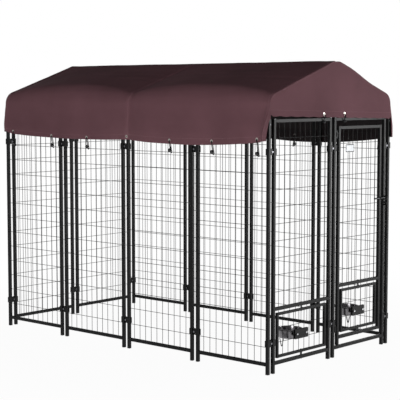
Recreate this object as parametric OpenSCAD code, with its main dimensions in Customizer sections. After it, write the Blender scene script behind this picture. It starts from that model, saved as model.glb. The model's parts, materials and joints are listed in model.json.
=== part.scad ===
// Outdoor dog kennel run: welded wire panels clamped post to post, a hinged gate,
// two turning bowl feeders and a cloth roof cover on a frame of bent tubes.
// Millimetres. The origin is the middle of the footprint on the floor, +Z is up,
// the gate end faces +X and the left wall, seen from the gate end, is at -Y.

/* [Walls] */
// Width of one panel over its two posts
panel_w = 572; // [520:1:680]
// Height of the walls, floor to post tops
wall_h = 1505; // [1400:5:1700]
// Clear gap between the posts of neighbouring panels
joint_gap = 28; // [26:1:36]
// Side of the square post and rail tube
tube = 20; // [19:1:24]
// Wall thickness of the square tube
tube_wall = 1.2; // [1:0.1:1.6]
// Outside corner radius of the square tube
tube_r = 2; // [1.8:0.1:3]
// Height of the bottom rails' centre line
bottom_rail_z = 60; // [50:1:80]
// Height of the clamps' centre on the lower row
clamp_low_z = 185; // [184:1:230]
// Drop of the upper row of clamps below the post tops
clamp_top_drop = 190; // [182:1:240]
// Lift of the clamp above the lower gate hinge
gate_clamp_lift = 34; // [34:1:60]

/* [Mesh] */
// Diameter of the mesh wires
wire_d = 3.2; // [2.4:0.1:4]
// Nominal spacing of the upright wires
wire_step_x = 50; // [45:1:60]
// Nominal spacing of the level wires
wire_step_z = 100; // [80:1:110]

/* [Gate] */
// Clear gap between the gate leaf and the gate frame's posts
gate_gap = 28; // [26:1:34]
// Clear gap between the gate leaf and the frame's top rail
leaf_top_gap = 33; // [12:1:40]
// Height of the leaf's bottom rail centre line
leaf_bottom_z = 122; // [110:1:140]
// Height of the leaf's cross rail centre line
gate_rail_z = 450; // [430:1:480]
// Height of the lower hinge
hinge_low_z = 178; // [165:1:178]
// Drop of the upper hinge below the post tops
hinge_top_drop = 105; // [80:1:120]
// Radius of the hinge pins
hinge_pin_r = 4; // [3:0.5:5]
// Height of the latch bolt
latch_z = 975; // [700:1:1200]
// Radius of the latch bolt
latch_r = 5; // [4:0.5:6]
// Length of the latch bolt
latch_len = 116; // [110:1:120]

/* [Feeders] */
// Height of the front panel's cross rail centre line
feeder_rail_z = 384; // [370:1:410]
// Side of the turning frames' square tube
bar = 16; // [15:1:18]
// Gap beside a turning frame
turn_gap_side = 22; // [15:1:28]
// Gap under a turning frame
turn_gap_low = 18; // [12:1:24]
// Gap above a turning frame
turn_gap_high = 15; // [10:1:20]
// Radius of the pivot pins
pivot_r = 5; // [4:0.5:5.5]
// Radius of the bowl at its mouth
bowl_r = 73; // [60:1:78]
// Height of the bowl
bowl_h = 58; // [45:1:64]
// Sheet thickness of the bowl
bowl_t = 1.2; // [0.8:0.1:2]
// Height of the hoop above a turning frame's lower edge
hoop_up = 131; // [125:1:138]
// Wire radius of the bowl hoop
hoop_wire_r = 3; // [2.5:0.1:3.5]
// Drop of the wire loop under the hoop
loop_drop = 60; // [40:1:70]

/* [Roof] */
// How much thinner the roof tubes are than the posts
roof_step = 1; // [0.6:0.1:2]
// Wall thickness of the roof tubes
roof_wall = 1.2; // [1:0.1:1.5]
// Height of the straight rafter legs above the posts
leg_h = 78; // [70:1:120]
// Centre line radius of the eave bends
bend_r = 69; // [60:1:100]
// Slope of the roof in degrees
roof_slope = 18.5; // [12:0.5:22]
// Length of the spigots inside the posts
spigot_len = 60; // [50:1:80]

/* [Cover] */
// Thickness of the cover cloth
cloth_t = 1.2; // [1:0.1:1.5]
// Depth of the skirt below the post tops
skirt_drop = 130; // [125:1:135]
// How much lower the hem hangs at the middle arch than at the ends
hem_dip = 16; // [0:1:20]
// Sag of the cloth between two arches
cloth_sag = 22; // [10:1:24]
// How far the skirt stands out from the eave
skirt_out = 9; // [8:0.5:12]
// How far the hem bulges between two eyelets
hem_bulge = 11; // [4:1:16]
// How far the skirt flares out at its corners
corner_flare = 52; // [20:1:60]
// Distance of the gable eyelets from the middle
gable_eyelet_y = 108; // [105:1:111]
// Radius of the elastic tie cord
tie_r = 2.25; // [1.8:0.05:2.4]
// Radius of the ball on a tie
ball_r = 12; // [11:0.5:14]

/* [Hidden] */
$fn = 48;

steel_black = "#1e1e20";
bolt_black = "#2a2a2c";
stainless = "#c9ccd0";
nickel = "#d8d8d6";
plastic_black = "#161616";
maroon = "#5d3f44";
elastic_black = "#121212";

// Clearances: welded or seated pieces, sliding and turning fits, and the overshoot of cuts
seat_gap = 0.1;
turn_fit = 0.08;
plug_fit = 0.2;
tie_gap = 0.3;
cut = 1;

// Layout of the walls
pitch = panel_w + joint_gap;
joint_pitch = tube + joint_gap;
post_span = panel_w - tube;
end_x = 2 * pitch - joint_pitch / 2;
side_y = pitch + joint_pitch / 2;
top_rail_z = wall_h - tube / 2;
clamp_high_z = wall_h - clamp_top_drop;
hinge_high_z = wall_h - hinge_top_drop;
middle_x = joint_pitch / 2;
wire_off = wire_d / 2 + seat_gap / 2;
wire_layer = wire_d + seat_gap;

// Foot caps and top plugs
foot_t = 4;
plug_t = 2;
plug_depth = 18;
tube_bore = tube - 2 * tube_wall;

// Gate leaf
leaf_span = post_span - tube - 2 * gate_gap - tube;
leaf_top_z = top_rail_z - tube - leaf_top_gap;
hinge_x = -(leaf_span / 2 + tube / 2 + gate_gap / 2);
knuckle_r = 8;
knuckle_h = 30;
knuckle_web = 11;
lug_t = 5;
lug_gap = 0.4;
hinge_head_r = 6.5;
hinge_head_h = 3;
hinge_tail = 4;

// Latch
sleeve_wall = 3;
sleeve_len = 24;
latch_standoff = 0.5;
latch_y = -(tube / 2 + latch_r + sleeve_wall + latch_standoff);
latch_tip_gap = 8;
keeper_t = 4;
keeper_r = 13;
keeper_h = 64;
keeper_fit = 1.8;
padlock_r = 6;
knob_r = latch_r + 1.5;
knob_bevel = 2;
latch_nose = 2;

// Feeders
feeder_1_w = post_span - tube - 2 * turn_gap_side;
feeder_2_w = leaf_span - tube - 2 * turn_gap_side;
feeder_1_low = bottom_rail_z + tube / 2 + turn_gap_low;
feeder_2_low = leaf_bottom_z + tube / 2 + turn_gap_low;
feeder_1_high = feeder_rail_z - tube / 2 - turn_gap_high;
feeder_2_high = gate_rail_z - tube / 2 - turn_gap_high;
collar_step = 1.8;
collar_r = pivot_r + collar_step;
pin_head_h = 3;
pin_tail = 3;
plate_w = 130;
plate_h = 58;
plate_t = 2.5;
plate_up = 115;
plate_notch_r = 6;
plate_bolt_x = 44;
plate_bolt_r = 3;
plate_nut_r = 5.5;
plate_nut_h = 5;
plate_head_h = 3.5;
plate_head_r = 5;
plate_bolt_tail = 1.5;
plate_y = wire_layer / 2 + wire_d / 2 + seat_gap;
hoop_standoff = 5;
hoop_clear = 1.5;
hoop_r = bowl_r + hoop_clear + hoop_wire_r;
hoop_y = plate_y + plate_t + hoop_standoff + hoop_wire_r + hoop_r;
hoop_arm_x = 30;
hoop_arm_step = 0.4;
hoop_arm_r = hoop_wire_r - hoop_arm_step;
loop_wire_r = 2;
loop_r = 13;
bowl_foot_r = 9;
bowl_taper = 7;
bowl_rim = 8;

// Clamps
clamp_h = 38;
clamp_t = 2.5;
clamp_split = 4;
clamp_bolt_r = 3;
clamp_head = 10;
clamp_head_h = 5;
clamp_nut_r = 5.8;
clamp_nut_h = 5;
clamp_bolt_tail = 3;

// Roof frame
roof_r = (tube - roof_step) / 2;
leg_top_z = wall_h + leg_h;
bend_sweep = 90 - roof_slope;
bend_end_y = bend_r * (1 - cos(bend_sweep));
bend_end_z = leg_top_z + bend_r * sin(bend_sweep);
ridge_z = bend_end_z + (side_y - bend_end_y) * tan(roof_slope);
rafter_run = (side_y - bend_end_y) / cos(roof_slope);
spigot_r = tube_bore / 2 - plug_fit;
spigot_neck = 8;
hub_step = 0.7;
hub_r = roof_r + hub_step;
hub_half = 11;
apex_gap = 16;
socket_len = 45;
socket_r = roof_r - roof_wall - plug_fit;
neck_len = 6;
neck_sweep = 8;
rafter_screw_drop = 30;
rafter_screw_r = 2.5;
rafter_screw_head_r = 4.5;
rafter_screw_head_h = 2.5;
rafter_screw_tip = 2;

// Cover
cover_clear = 1.2;
cover_off = roof_r + cover_clear;
cover_over = 2.5;
cover_x = end_x + roof_r + cover_over;
gable_gap = 0.3;
gable_hem_z = wall_h + 4;
gable_flare = 6;
gable_sag = 4;
gable_top_half = 30;
hem_lean = 8;
eyelet_up = 20;
eyelet_cell = 11;
belly_up = 60;
eyelet_bore = 4.5;
eyelet_r = 9.5;
eyelet_barrel = eyelet_bore + 0.4;
eyelet_flange = 0.8;
eyelet_seat = 0.4;

// Tied eyelets, each over a mesh opening: its panel from the run's middle, its opening from the panel's
eyelet_places = [[-1.5, -4], [-1.5, 4], [-0.5, -1], [0.5, 2], [1.5, -3], [1.5, 4]];
mesh_columns = 2 * round((post_span / wire_step_x - 1) / 2) + 1;
column_w = post_span / mesh_columns;
tied_x = [for (p = eyelet_places) p[0] * pitch + p[1] * column_w];
eyelets_x = concat([for (x = tied_x) if (x < 0) x], [middle_x], [for (x = tied_x) if (x > 0) x]);
last_eyelet = len(eyelets_x) - 1;

// Ties
tie_bend_r = 5;
tie_level = 2;
rail_tie_r = tube / 2 * sqrt(2) - tube_r * (sqrt(2) - 1) + tie_r + tie_gap;
ball_up = 20;
ball_shift = 7.5;

// Tubes, rails and mesh

module rounded_square(size, r) {
    square([size, size - 2 * r], center = true);
    square([size - 2 * r, size], center = true);
    for (sx = [-1, 1], sy = [-1, 1])
        translate([sx * (size / 2 - r), sy * (size / 2 - r)]) circle(r = r);
}

module square_tube(length, size) {
    linear_extrude(length) difference() {
        rounded_square(size, tube_r);
        rounded_square(size - 2 * tube_wall, max(tube_r - tube_wall, 0.2));
    }
}

module upright(x, z0, z1, size) {
    translate([x, 0, z0]) square_tube(z1 - z0, size);
}

module rail(half, z, size) {
    translate([-half, 0, z]) rotate([0, 90, 0]) square_tube(2 * half, size);
}

module bored_rail(half, z, size, bore_r) {
    difference() {
        rail(half, z, size);
        translate([0, 0, z - size]) cylinder(r = bore_r, h = 2 * size);
    }
}

// Wires between the faces of a frame given by its centre lines; the upright wires lie outside
module wire_mesh(span, z0, z1, size, weld) {
    columns = 2 * round((span / wire_step_x - 1) / 2) + 1;
    rows = round((z1 - z0) / wire_step_z);
    for (i = [1:columns - 1])
        translate([-span / 2 + i * span / columns, -wire_off, z0 + size / 2])
            cylinder(d = wire_d, h = z1 - z0 - size);
    for (j = [1:rows - 1])
        translate([-span / 2 + size / 2 + weld, wire_off, z0 + j * (z1 - z0) / rows])
            rotate([0, 90, 0]) cylinder(d = wire_d, h = span - size - 2 * weld);
}

// Post of a panel; a rafter post has a screw hole in its face on the given side
module panel_post(side, hole_side) {
    difference() {
        upright(side * post_span / 2, foot_t, wall_h, tube);
        if (hole_side != 0)
            translate([side * post_span / 2, 0, wall_h - rafter_screw_drop])
                rotate([0, hole_side * 90, 0])
                    cylinder(r = rafter_screw_r + seat_gap, h = tube);
    }
}

// A wall panel is welded into one piece
module wall_panel(low_hole, high_hole) {
    half = post_span / 2 - tube / 2;
    panel_post(-1, low_hole);
    panel_post(1, high_hole);
    rail(half, top_rail_z, tube);
    rail(half, bottom_rail_z, tube);
    wire_mesh(post_span, bottom_rail_z, top_rail_z, tube, 0);
}

// Places of the panels: each stands with its outer side towards local -Y

module on_left(i) {
    translate([(i - 2.5) * pitch, -side_y, 0]) children();
}

module on_right(i) {
    translate([(i - 2.5) * pitch, side_y, 0]) rotate(180) children();
}

module on_back(i) {
    translate([-end_x, (i - 1.5) * pitch, 0]) rotate(-90) children();
}

module on_front(i) {
    translate([end_x, (i - 1.5) * pitch, 0]) rotate(90) children();
}

// Side of a rafter post's screw hole, for the first and last post of a side panel
function first_hole(i) = (i == 1 || i == 3) ? -1 : 0;
function last_hole(i) = i == 4 ? 1 : 0;

module left_wall_panel(i) {
    color(steel_black) on_left(i) wall_panel(first_hole(i), last_hole(i));
}

module right_wall_panel(i) {
    color(steel_black) on_right(i) wall_panel(-last_hole(i), -first_hole(i));
}

module back_wall_panel(i) {
    color(steel_black) on_back(i) wall_panel(0, 0);
}

module front_feeder_panel() {
    half = post_span / 2 - tube / 2 - seat_gap;
    color(steel_black) on_front(1) {
        for (side = [-1, 1]) panel_post(side, 0);
        rail(half, top_rail_z, tube);
        bored_rail(half, bottom_rail_z, tube, pivot_r + seat_gap / 2);
        bored_rail(half, feeder_rail_z, tube, pivot_r + seat_gap / 2);
        wire_mesh(post_span, feeder_rail_z, top_rail_z, tube, seat_gap);
    }
}

module gate_frame() {
    half = post_span / 2 - tube / 2 - seat_gap;
    color(steel_black) on_front(2) {
        for (side = [-1, 1]) panel_post(side, 0);
        for (z = [bottom_rail_z, top_rail_z]) rail(half, z, tube);
    }
}

// Gate leaf, hinges and latch

module gate_leaf() {
    half = leaf_span / 2 - tube / 2 - seat_gap;
    color(steel_black) on_front(2) {
        for (side = [-1, 1])
            upright(side * leaf_span / 2, leaf_bottom_z - tube / 2, leaf_top_z + tube / 2, tube);
        rail(half, leaf_top_z, tube);
        bored_rail(half, gate_rail_z, tube, pivot_r + seat_gap / 2);
        bored_rail(half, leaf_bottom_z, tube, pivot_r + seat_gap / 2);
        wire_mesh(leaf_span, gate_rail_z, leaf_top_z, tube, seat_gap);
    }
}

module at_hinges() {
    on_front(2) for (z = [hinge_low_z, hinge_high_z]) translate([hinge_x, 0, z]) children();
}

module gate_hinge_lugs() {
    color(steel_black) at_hinges() for (side = [0, 1]) mirror([0, 0, side])
        translate([0, 0, knuckle_h / 2 + lug_gap]) difference() {
            union() {
                cylinder(r = knuckle_r, h = lug_t);
                translate([seat_gap - gate_gap / 2, -knuckle_r, 0])
                    cube([gate_gap / 2 - seat_gap, 2 * knuckle_r, lug_t]);
            }
            translate([0, 0, -cut]) cylinder(r = hinge_pin_r + seat_gap / 2, h = lug_t + 2 * cut);
        }
}

module gate_hinge_knuckles() {
    color(steel_black) at_hinges() translate([0, 0, -knuckle_h / 2]) difference() {
        union() {
            cylinder(r = knuckle_r, h = knuckle_h);
            translate([0, -knuckle_web / 2, 0])
                cube([gate_gap / 2 - seat_gap, knuckle_web, knuckle_h]);
        }
        translate([0, 0, -cut]) cylinder(r = hinge_pin_r + turn_fit, h = knuckle_h + 2 * cut);
    }
}

module gate_hinge_pins() {
    reach = knuckle_h / 2 + lug_gap + lug_t;
    color(bolt_black) at_hinges() {
        translate([0, 0, -reach - hinge_tail])
            cylinder(r = hinge_pin_r, h = 2 * reach + hinge_tail + seat_gap + hinge_head_h);
        translate([0, 0, reach + seat_gap]) cylinder(r = hinge_head_r, h = hinge_head_h);
    }
}

module at_latch(x) {
    on_front(2) translate([x, latch_y, latch_z]) rotate([0, 90, 0]) children();
}

module latch_sleeve() {
    outer = latch_r + sleeve_wall;
    x0 = leaf_span / 2 - sleeve_len / 2;
    foot = -latch_y - tube / 2 - seat_gap;
    color(steel_black) at_latch(x0) difference() {
        union() {
            cylinder(r = outer, h = sleeve_len);
            translate([-outer, 0, 0]) cube([2 * outer, foot, sleeve_len]);
        }
        translate([0, 0, -cut]) cylinder(r = latch_r + turn_fit, h = sleeve_len + 2 * cut);
    }
}

// Round bolt with a bevelled nose and a pull knob on its inner end
module latch_bolt() {
    tip = post_span / 2 - keeper_t / 2 - latch_tip_gap;
    color(bolt_black) at_latch(tip - latch_len) rotate_extrude() polygon([
        [0, 0], [knob_r - knob_bevel, 0], [knob_r, knob_bevel], [knob_r, knob_r],
        [latch_r, knob_r + knob_bevel],
        [latch_r, latch_len - latch_nose], [latch_r - latch_nose, latch_len], [0, latch_len]]);
}

// Two round-ended tabs welded to the post: one with a hole for the bolt, one with an eye for a padlock
module keeper_tab(hole_r) {
    root = -latch_y - tube / 2 - seat_gap;
    difference() {
        union() {
            cylinder(r = keeper_r, h = keeper_t);
            translate([-keeper_r, 0, 0]) cube([2 * keeper_r, keeper_r, keeper_t]);
        }
        translate([-2 * keeper_r, root, -cut]) cube([4 * keeper_r, 2 * keeper_r, keeper_t + 2 * cut]);
        translate([0, 0, -cut]) cylinder(r = hole_r, h = keeper_t + 2 * cut);
    }
}

module latch_keeper() {
    drop = keeper_h - 2 * keeper_r;
    color(steel_black) at_latch(post_span / 2 - keeper_t / 2) {
        keeper_tab(latch_r + keeper_fit);
        translate([drop, 0, 0]) keeper_tab(padlock_r);
    }
}

// Feeders: local X runs across the turning frame, +Y points into the run

module feeder_frame(width, low, high) {
    span = width - bar;
    color(steel_black) {
        for (side = [-1, 1]) upright(side * span / 2, low, high, bar);
        bored_rail(span / 2 - bar / 2, low + bar / 2, bar, pivot_r + turn_fit);
        bored_rail(span / 2 - bar / 2, high - bar / 2, bar, pivot_r + turn_fit);
        wire_mesh(span, low + bar / 2, high - bar / 2, bar, 0);
    }
}

// The lower pin has a collar that carries the turning frame; the upper pin hangs by its head
module pivot_pins(low, high, low_rail_z, high_rail_z) {
    rail_bottom = low_rail_z - tube / 2;
    rail_top = low_rail_z + tube / 2;
    cross_top = high_rail_z + tube / 2;
    color(bolt_black) {
        translate([0, 0, rail_bottom - pin_tail])
            cylinder(r = pivot_r, h = low + bar + pin_tail - rail_bottom + pin_tail);
        translate([0, 0, rail_top + seat_gap])
            cylinder(r = collar_r, h = low - rail_top - 2 * seat_gap);
        translate([0, 0, high - bar - pin_tail])
            cylinder(r = pivot_r, h = cross_top + seat_gap + pin_head_h - high + bar + pin_tail);
        translate([0, 0, cross_top + seat_gap]) cylinder(r = collar_r, h = pin_head_h);
    }
}

module plate_outline() {
    difference() {
        square([plate_w, plate_h], center = true);
        for (side = [-1, 1]) translate([side * plate_w / 2, 0]) circle(r = plate_notch_r);
        for (side = [-1, 1]) translate([side * plate_bolt_x, 0])
            circle(r = plate_bolt_r + seat_gap);
    }
}

// Plate standing in the X-Z plane with its front face at the given Y
module upright_plate(y, z) {
    translate([0, y + plate_t, z]) rotate([90, 0, 0]) linear_extrude(plate_t) plate_outline();
}

module wire_along_y(x, y0, y1, z, r) {
    translate([x, y0, z]) rotate([-90, 0, 0]) cylinder(r = r, h = y1 - y0);
}

// Mounting plate with a ring for the bowl and a wire loop hanging under its far side
module hoop(low) {
    ring_z = low + hoop_up;
    arm_end = hoop_y - sqrt(pow(hoop_r, 2) - pow(hoop_arm_x, 2));
    loop_y = hoop_y + sqrt(pow(hoop_r, 2) - pow(loop_r, 2));
    leg = loop_drop - loop_r - loop_wire_r;
    color(steel_black) union() {
        upright_plate(plate_y, low + plate_up);
        for (side = [-1, 1])
            wire_along_y(side * hoop_arm_x, plate_y + plate_t / 2, arm_end, ring_z, hoop_arm_r);
        translate([0, hoop_y, ring_z]) rotate_extrude() translate([hoop_r, 0]) circle(r = hoop_wire_r);
        for (side = [-1, 1])
            translate([side * loop_r, loop_y, ring_z - leg]) cylinder(r = loop_wire_r, h = leg);
        translate([0, loop_y, ring_z - leg]) rotate([-90, 0, 0])
            rotate_extrude(angle = 180) translate([loop_r, 0]) circle(r = loop_wire_r);
    }
}

module clamp_plate(low) {
    color(steel_black) upright_plate(-plate_y - plate_t, low + plate_up);
}

module plate_bolts(low) {
    front = plate_y + plate_t + seat_gap / 2;
    z = low + plate_up;
    color(nickel) for (side = [-1, 1]) {
        wire_along_y(side * plate_bolt_x, -front, front + plate_nut_h + plate_bolt_tail, z, plate_bolt_r);
        wire_along_y(side * plate_bolt_x, -front - plate_head_h, -front, z, plate_head_r);
    }
}

module plate_nuts(low) {
    front = plate_y + plate_t + seat_gap / 2;
    color(nickel) for (side = [-1, 1]) translate([side * plate_bolt_x, front, low + plate_up])
        rotate([-90, 0, 0]) difference() {
            cylinder(r = plate_nut_r, h = plate_nut_h, $fn = 6);
            translate([0, 0, -cut]) cylinder(r = plate_bolt_r + seat_gap / 2, h = plate_nut_h + 2 * cut);
        }
}

// Points of a quarter round from angle a0 to a1 about a centre
function arc(cx, cy, r, a0, a1, steps) =
    [for (i = [0:steps]) let (a = a0 + (a1 - a0) * i / steps) [cx + r * cos(a), cy + r * sin(a)]];

// Steel bowl whose rolled rim rests on the hoop
module bowl(low) {
    rim_z = low + hoop_up + hoop_wire_r + seat_gap;
    floor_z = rim_z + bowl_t - bowl_h;
    foot_r = bowl_r - bowl_taper;
    outer = concat([[0, 0]], arc(foot_r - bowl_foot_r, bowl_foot_r, bowl_foot_r, -90, 0, 6),
        [[bowl_r, bowl_h - bowl_t], [bowl_r + bowl_rim, bowl_h - bowl_t], [bowl_r + bowl_rim, bowl_h]]);
    inner_r = bowl_foot_r - bowl_t;
    inner = concat([[bowl_r - bowl_t, bowl_h]],
        arc(foot_r - bowl_foot_r, bowl_foot_r, inner_r, 0, -90, 6), [[0, bowl_t]]);
    color(stainless) translate([0, hoop_y, floor_z]) rotate_extrude() polygon(concat(outer, inner));
}

// Clamps

// Plan of one half: two channels that hug the posts, joined by a web in the gap
module clamp_half_plan() {
    seat = tube / 2 + seat_gap;
    web_half = joint_pitch / 2 - seat;
    difference() {
        for (side = [-1, 1]) translate([side * joint_pitch / 2 - seat - clamp_t, clamp_split])
            square([2 * (seat + clamp_t), seat + clamp_t - clamp_split]);
        for (side = [-1, 1]) translate([side * joint_pitch / 2 - seat, 0]) square([2 * seat, seat]);
    }
    translate([-web_half, clamp_split]) square([2 * web_half, clamp_t]);
}

module clamp_half() {
    difference() {
        translate([0, 0, -clamp_h / 2]) linear_extrude(clamp_h) clamp_half_plan();
        wire_along_y(0, 0, tube, 0, clamp_bolt_r + plug_fit);
    }
}

// Every clamp: plan place, turn and height, its outer side towards local -Y
function post_joints() = concat(
    [for (k = [-1:1], s = [-1, 1]) [k * pitch, s * side_y, s < 0 ? 0 : 180, 0]],
    [for (k = [-1:1], s = [-1, 1])
        [s * end_x, k * pitch, s * 90, (k == 0 && s > 0) ? gate_clamp_lift : 0]]);

module at_clamps() {
    for (j = post_joints(), z = [clamp_low_z, clamp_high_z])
        translate([j[0], j[1], z + (z == clamp_low_z ? j[3] : 0)]) rotate(j[2]) children();
}

module clamp_outer_halves() {
    color(steel_black) at_clamps() rotate(180) clamp_half();
}

module clamp_inner_halves() {
    color(steel_black) at_clamps() clamp_half();
}

module clamp_bolts() {
    face = clamp_split + clamp_t + seat_gap / 2;
    color(bolt_black) at_clamps() {
        wire_along_y(0, -face, face + clamp_nut_h + clamp_bolt_tail, 0, clamp_bolt_r);
        translate([-clamp_head / 2, -face - clamp_head_h, -clamp_head / 2])
            cube([clamp_head, clamp_head_h, clamp_head]);
    }
}

module clamp_nuts() {
    face = clamp_split + clamp_t + seat_gap / 2;
    color(bolt_black) at_clamps() translate([0, face, 0]) rotate([-90, 0, 0]) difference() {
        cylinder(r = clamp_nut_r, h = clamp_nut_h, $fn = 6);
        translate([0, 0, -cut]) cylinder(r = clamp_bolt_r + seat_gap / 2, h = clamp_nut_h + 2 * cut);
    }
}

// Roof frame: a rafter stands on its post at the local origin and bends towards +Y

// Straight tube along +Z
module round_tube(r, wall, length) {
    difference() {
        cylinder(r = r, h = length);
        translate([0, 0, -cut]) cylinder(r = r - wall, h = length + 2 * cut);
    }
}

// Straight leg from height z0 and the bend that follows it, through the given angle
module bent_rod(r, z0, sweep) {
    translate([0, 0, z0]) cylinder(r = r, h = leg_top_z - z0);
    translate([0, bend_r, leg_top_z]) rotate([90, 0, -90])
        rotate_extrude(angle = sweep) translate([bend_r, 0]) circle(r = r);
}

// Frame at the upper end of the bend, with Z along the roof slope
module at_bend_end() {
    translate([0, bend_end_y, bend_end_z]) rotate([-bend_sweep, 0, 0]) children();
}

// Bent tube with a thinner spigot at its foot, inside the post, and another inside the rafter
module eave_elbow(hole_side) {
    foot_z = wall_h - spigot_len;
    neck_z = wall_h + spigot_neck;
    difference() {
        union() {
            translate([0, 0, foot_z]) cylinder(r = spigot_r, h = spigot_len + spigot_neck / 2);
            bent_rod(roof_r, wall_h + seat_gap, bend_sweep);
            at_bend_end() translate([0, 0, -neck_len]) cylinder(r = socket_r, h = neck_len + socket_len);
        }
        union() bent_rod(roof_r - roof_wall, neck_z, bend_sweep - neck_sweep);
        translate([0, 0, foot_z - cut])
            cylinder(r = spigot_r - roof_wall, h = spigot_len + spigot_neck + 2 * cut);
        at_bend_end() translate([0, 0, -2 * neck_len])
            cylinder(r = socket_r - roof_wall, h = 2 * neck_len + socket_len + cut);
        translate([0, 0, wall_h - rafter_screw_drop]) rotate([0, hole_side * 90, 0])
            cylinder(r = rafter_screw_r + seat_gap, h = tube);
    }
}

// Arch pieces stand on the left wall's posts and are mirrored to the right wall
module on_arch(x, side) {
    mirror([0, side > 0 ? 1 : 0, 0]) translate([x, -side_y, 0]) children();
}

module eave_elbows() {
    color(steel_black) for (a = [[-end_x, -1], [middle_x, -1], [end_x, 1]], side = [-1, 1])
        on_arch(a[0], side) eave_elbow(a[1]);
}

module rafter(x, side) {
    length = rafter_run - apex_gap - seat_gap;
    color(steel_black) on_arch(x, side) at_bend_end() translate([0, 0, seat_gap])
        round_tube(roof_r, roof_wall, length);
}

// Hub with a spigot into each rafter and into the ridge tubes on the listed sides
module ridge_connector(x, tube_sides) {
    color(steel_black) translate([x, 0, ridge_z]) {
        rotate([0, 90, 0]) translate([0, 0, -hub_half]) cylinder(r = hub_r, h = 2 * hub_half);
        for (side = [-1, 1]) rotate([side * (90 + roof_slope), 0, 0])
            cylinder(r = socket_r, h = apex_gap + socket_len);
        for (side = tube_sides) rotate([0, side * 90, 0])
            cylinder(r = socket_r, h = hub_half + socket_len);
    }
}

module ridge_tube(x0, x1) {
    start = x0 + hub_half + seat_gap;
    length = x1 - x0 - 2 * (hub_half + seat_gap);
    color(steel_black) translate([start, 0, ridge_z]) rotate([0, 90, 0])
        round_tube(roof_r, roof_wall, length);
}

module rafter_screws() {
    reach = tube / 2 + seat_gap / 2;
    color(bolt_black) for (a = [[-end_x, -1], [middle_x, -1], [end_x, 1]], s = [-1, 1])
        translate([a[0], s * side_y, wall_h - rafter_screw_drop]) rotate([0, a[1] * 90, 0]) {
            translate([0, 0, spigot_r - roof_wall - rafter_screw_tip])
                cylinder(r = rafter_screw_r, h = reach - spigot_r + roof_wall + rafter_screw_tip);
            translate([0, 0, reach]) cylinder(r = rafter_screw_head_r, h = rafter_screw_head_h);
        }
}

// Plugs and caps in the posts

module post_plug(z, flange_t, up) {
    translate([0, 0, z]) mirror([0, 0, up ? 0 : 1]) {
        linear_extrude(flange_t) rounded_square(tube, tube_r);
        translate([0, 0, -plug_depth])
            cylinder(r = tube_bore / 2 - plug_fit, h = plug_depth + flange_t / 2);
    }
}

// Every post, or every post that carries no rafter
module at_posts(skip_rafters) {
    for (i = [1:4], s = [-1, 1]) {
        if (!skip_rafters || (s < 0 ? first_hole(i) : last_hole(i)) == 0) {
            on_left(i) translate([s * post_span / 2, 0, 0]) children();
            on_right(i) translate([-s * post_span / 2, 0, 0]) children();
        }
    }
    for (i = [1:2], s = [-1, 1]) {
        on_back(i) translate([s * post_span / 2, 0, 0]) children();
        on_front(i) translate([s * post_span / 2, 0, 0]) children();
    }
}

module post_top_plugs() {
    color(plastic_black) at_posts(true) post_plug(wall_h + seat_gap, plug_t, true);
}

module foot_caps() {
    color(plastic_black) at_posts(false) post_plug(foot_t - seat_gap, foot_t - seat_gap, false);
}

// Cover: a sheet over the arches with skirts on the long sides, and a gable at each end

// 0 at the arches and 1 half way between two of them
function bay(x) = abs(x) >= end_x ? 0 :
    let (a = x < middle_x ? -end_x : middle_x, b = x < middle_x ? middle_x : end_x, t = (x - a) / (b - a))
    4 * t * (1 - t);
function sag(x) = cloth_sag * bay(x);
function hem_z(x) = wall_h - skirt_drop - hem_dip * (1 - abs(x) / cover_x) - sag(x);

// The skirt flares past the outermost eyelet at each end, and its hem bulges between two eyelets
rear_flare_x = eyelets_x[0] - eyelet_cell;
front_flare_x = eyelets_x[last_eyelet] + eyelet_cell;
function flare(x) = corner_flare * max(0, (x - front_flare_x) / (cover_x - front_flare_x),
    (rear_flare_x - x) / (cover_x + rear_flare_x));
function eyelet_before(x) = len([for (e = eyelets_x) if (e <= x) e]) - 1;
function hem_wave(x) = let (i = eyelet_before(x)) (i < 0 || i == last_eyelet) ? 0 :
    hem_bulge * pow(sin(180 * (x - eyelets_x[i]) / (eyelets_x[i + 1] - eyelets_x[i])), 2);

// Distance of the skirt from the middle plane, at a height above the hem
function skirt_y(x, up, off) = side_y + off + skirt_out + hem_wave(x)
    + flare(x) * (1 - 0.25 * up / belly_up) - (belly_up - up) * tan(hem_lean);

bend_steps = 4;
bend_step = bend_sweep / bend_steps;
slope_steps = 2;

// Half section of the cover at x, from the hem up to the slope, as [distance from middle, height]
function half_section(x, off) = concat(
    [for (up = [0, eyelet_up - eyelet_cell / 2, eyelet_up + eyelet_cell / 2, belly_up])
        [skirt_y(x, up, off), hem_z(x) + up]],
    [for (i = [0:bend_steps]) let (
        grow = (i == 0 || i == bend_steps) ? 1 : 1 / cos(bend_step / 2), r = (bend_r + off) * grow)
        [side_y - bend_r + r * cos(i * bend_step), leg_top_z + r * sin(i * bend_step) - sag(x)]],
    [for (i = [1:slope_steps - 1]) let (s = i / slope_steps, run = rafter_run * s)
        [side_y - bend_end_y - run * cos(roof_slope) + off * sin(roof_slope),
         bend_end_z + run * sin(roof_slope) + off * cos(roof_slope) - sag(x) * (1 - s) * (1 + s)]]);

function mirrored(section) = [for (i = [len(section) - 1:-1:0]) [-section[i][0], section[i][1]]];
function full_section(x, off) = let (half = half_section(x, off))
    concat(half, [[0, ridge_z + off / cos(roof_slope)]], mirrored(half));

// Stations along the cover: both edges of every eyelet cell, and points between
half_cell = eyelet_cell / 2;
cover_stations = concat([-cover_x, -end_x, rear_flare_x],
    [for (i = [0:len(eyelets_x) - 1]) each concat([eyelets_x[i] - half_cell, eyelets_x[i] + half_cell],
        i < last_eyelet ? [(eyelets_x[i] + eyelets_x[i + 1]) / 2] : [])],
    [front_flare_x, end_x, cover_x]);

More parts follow.
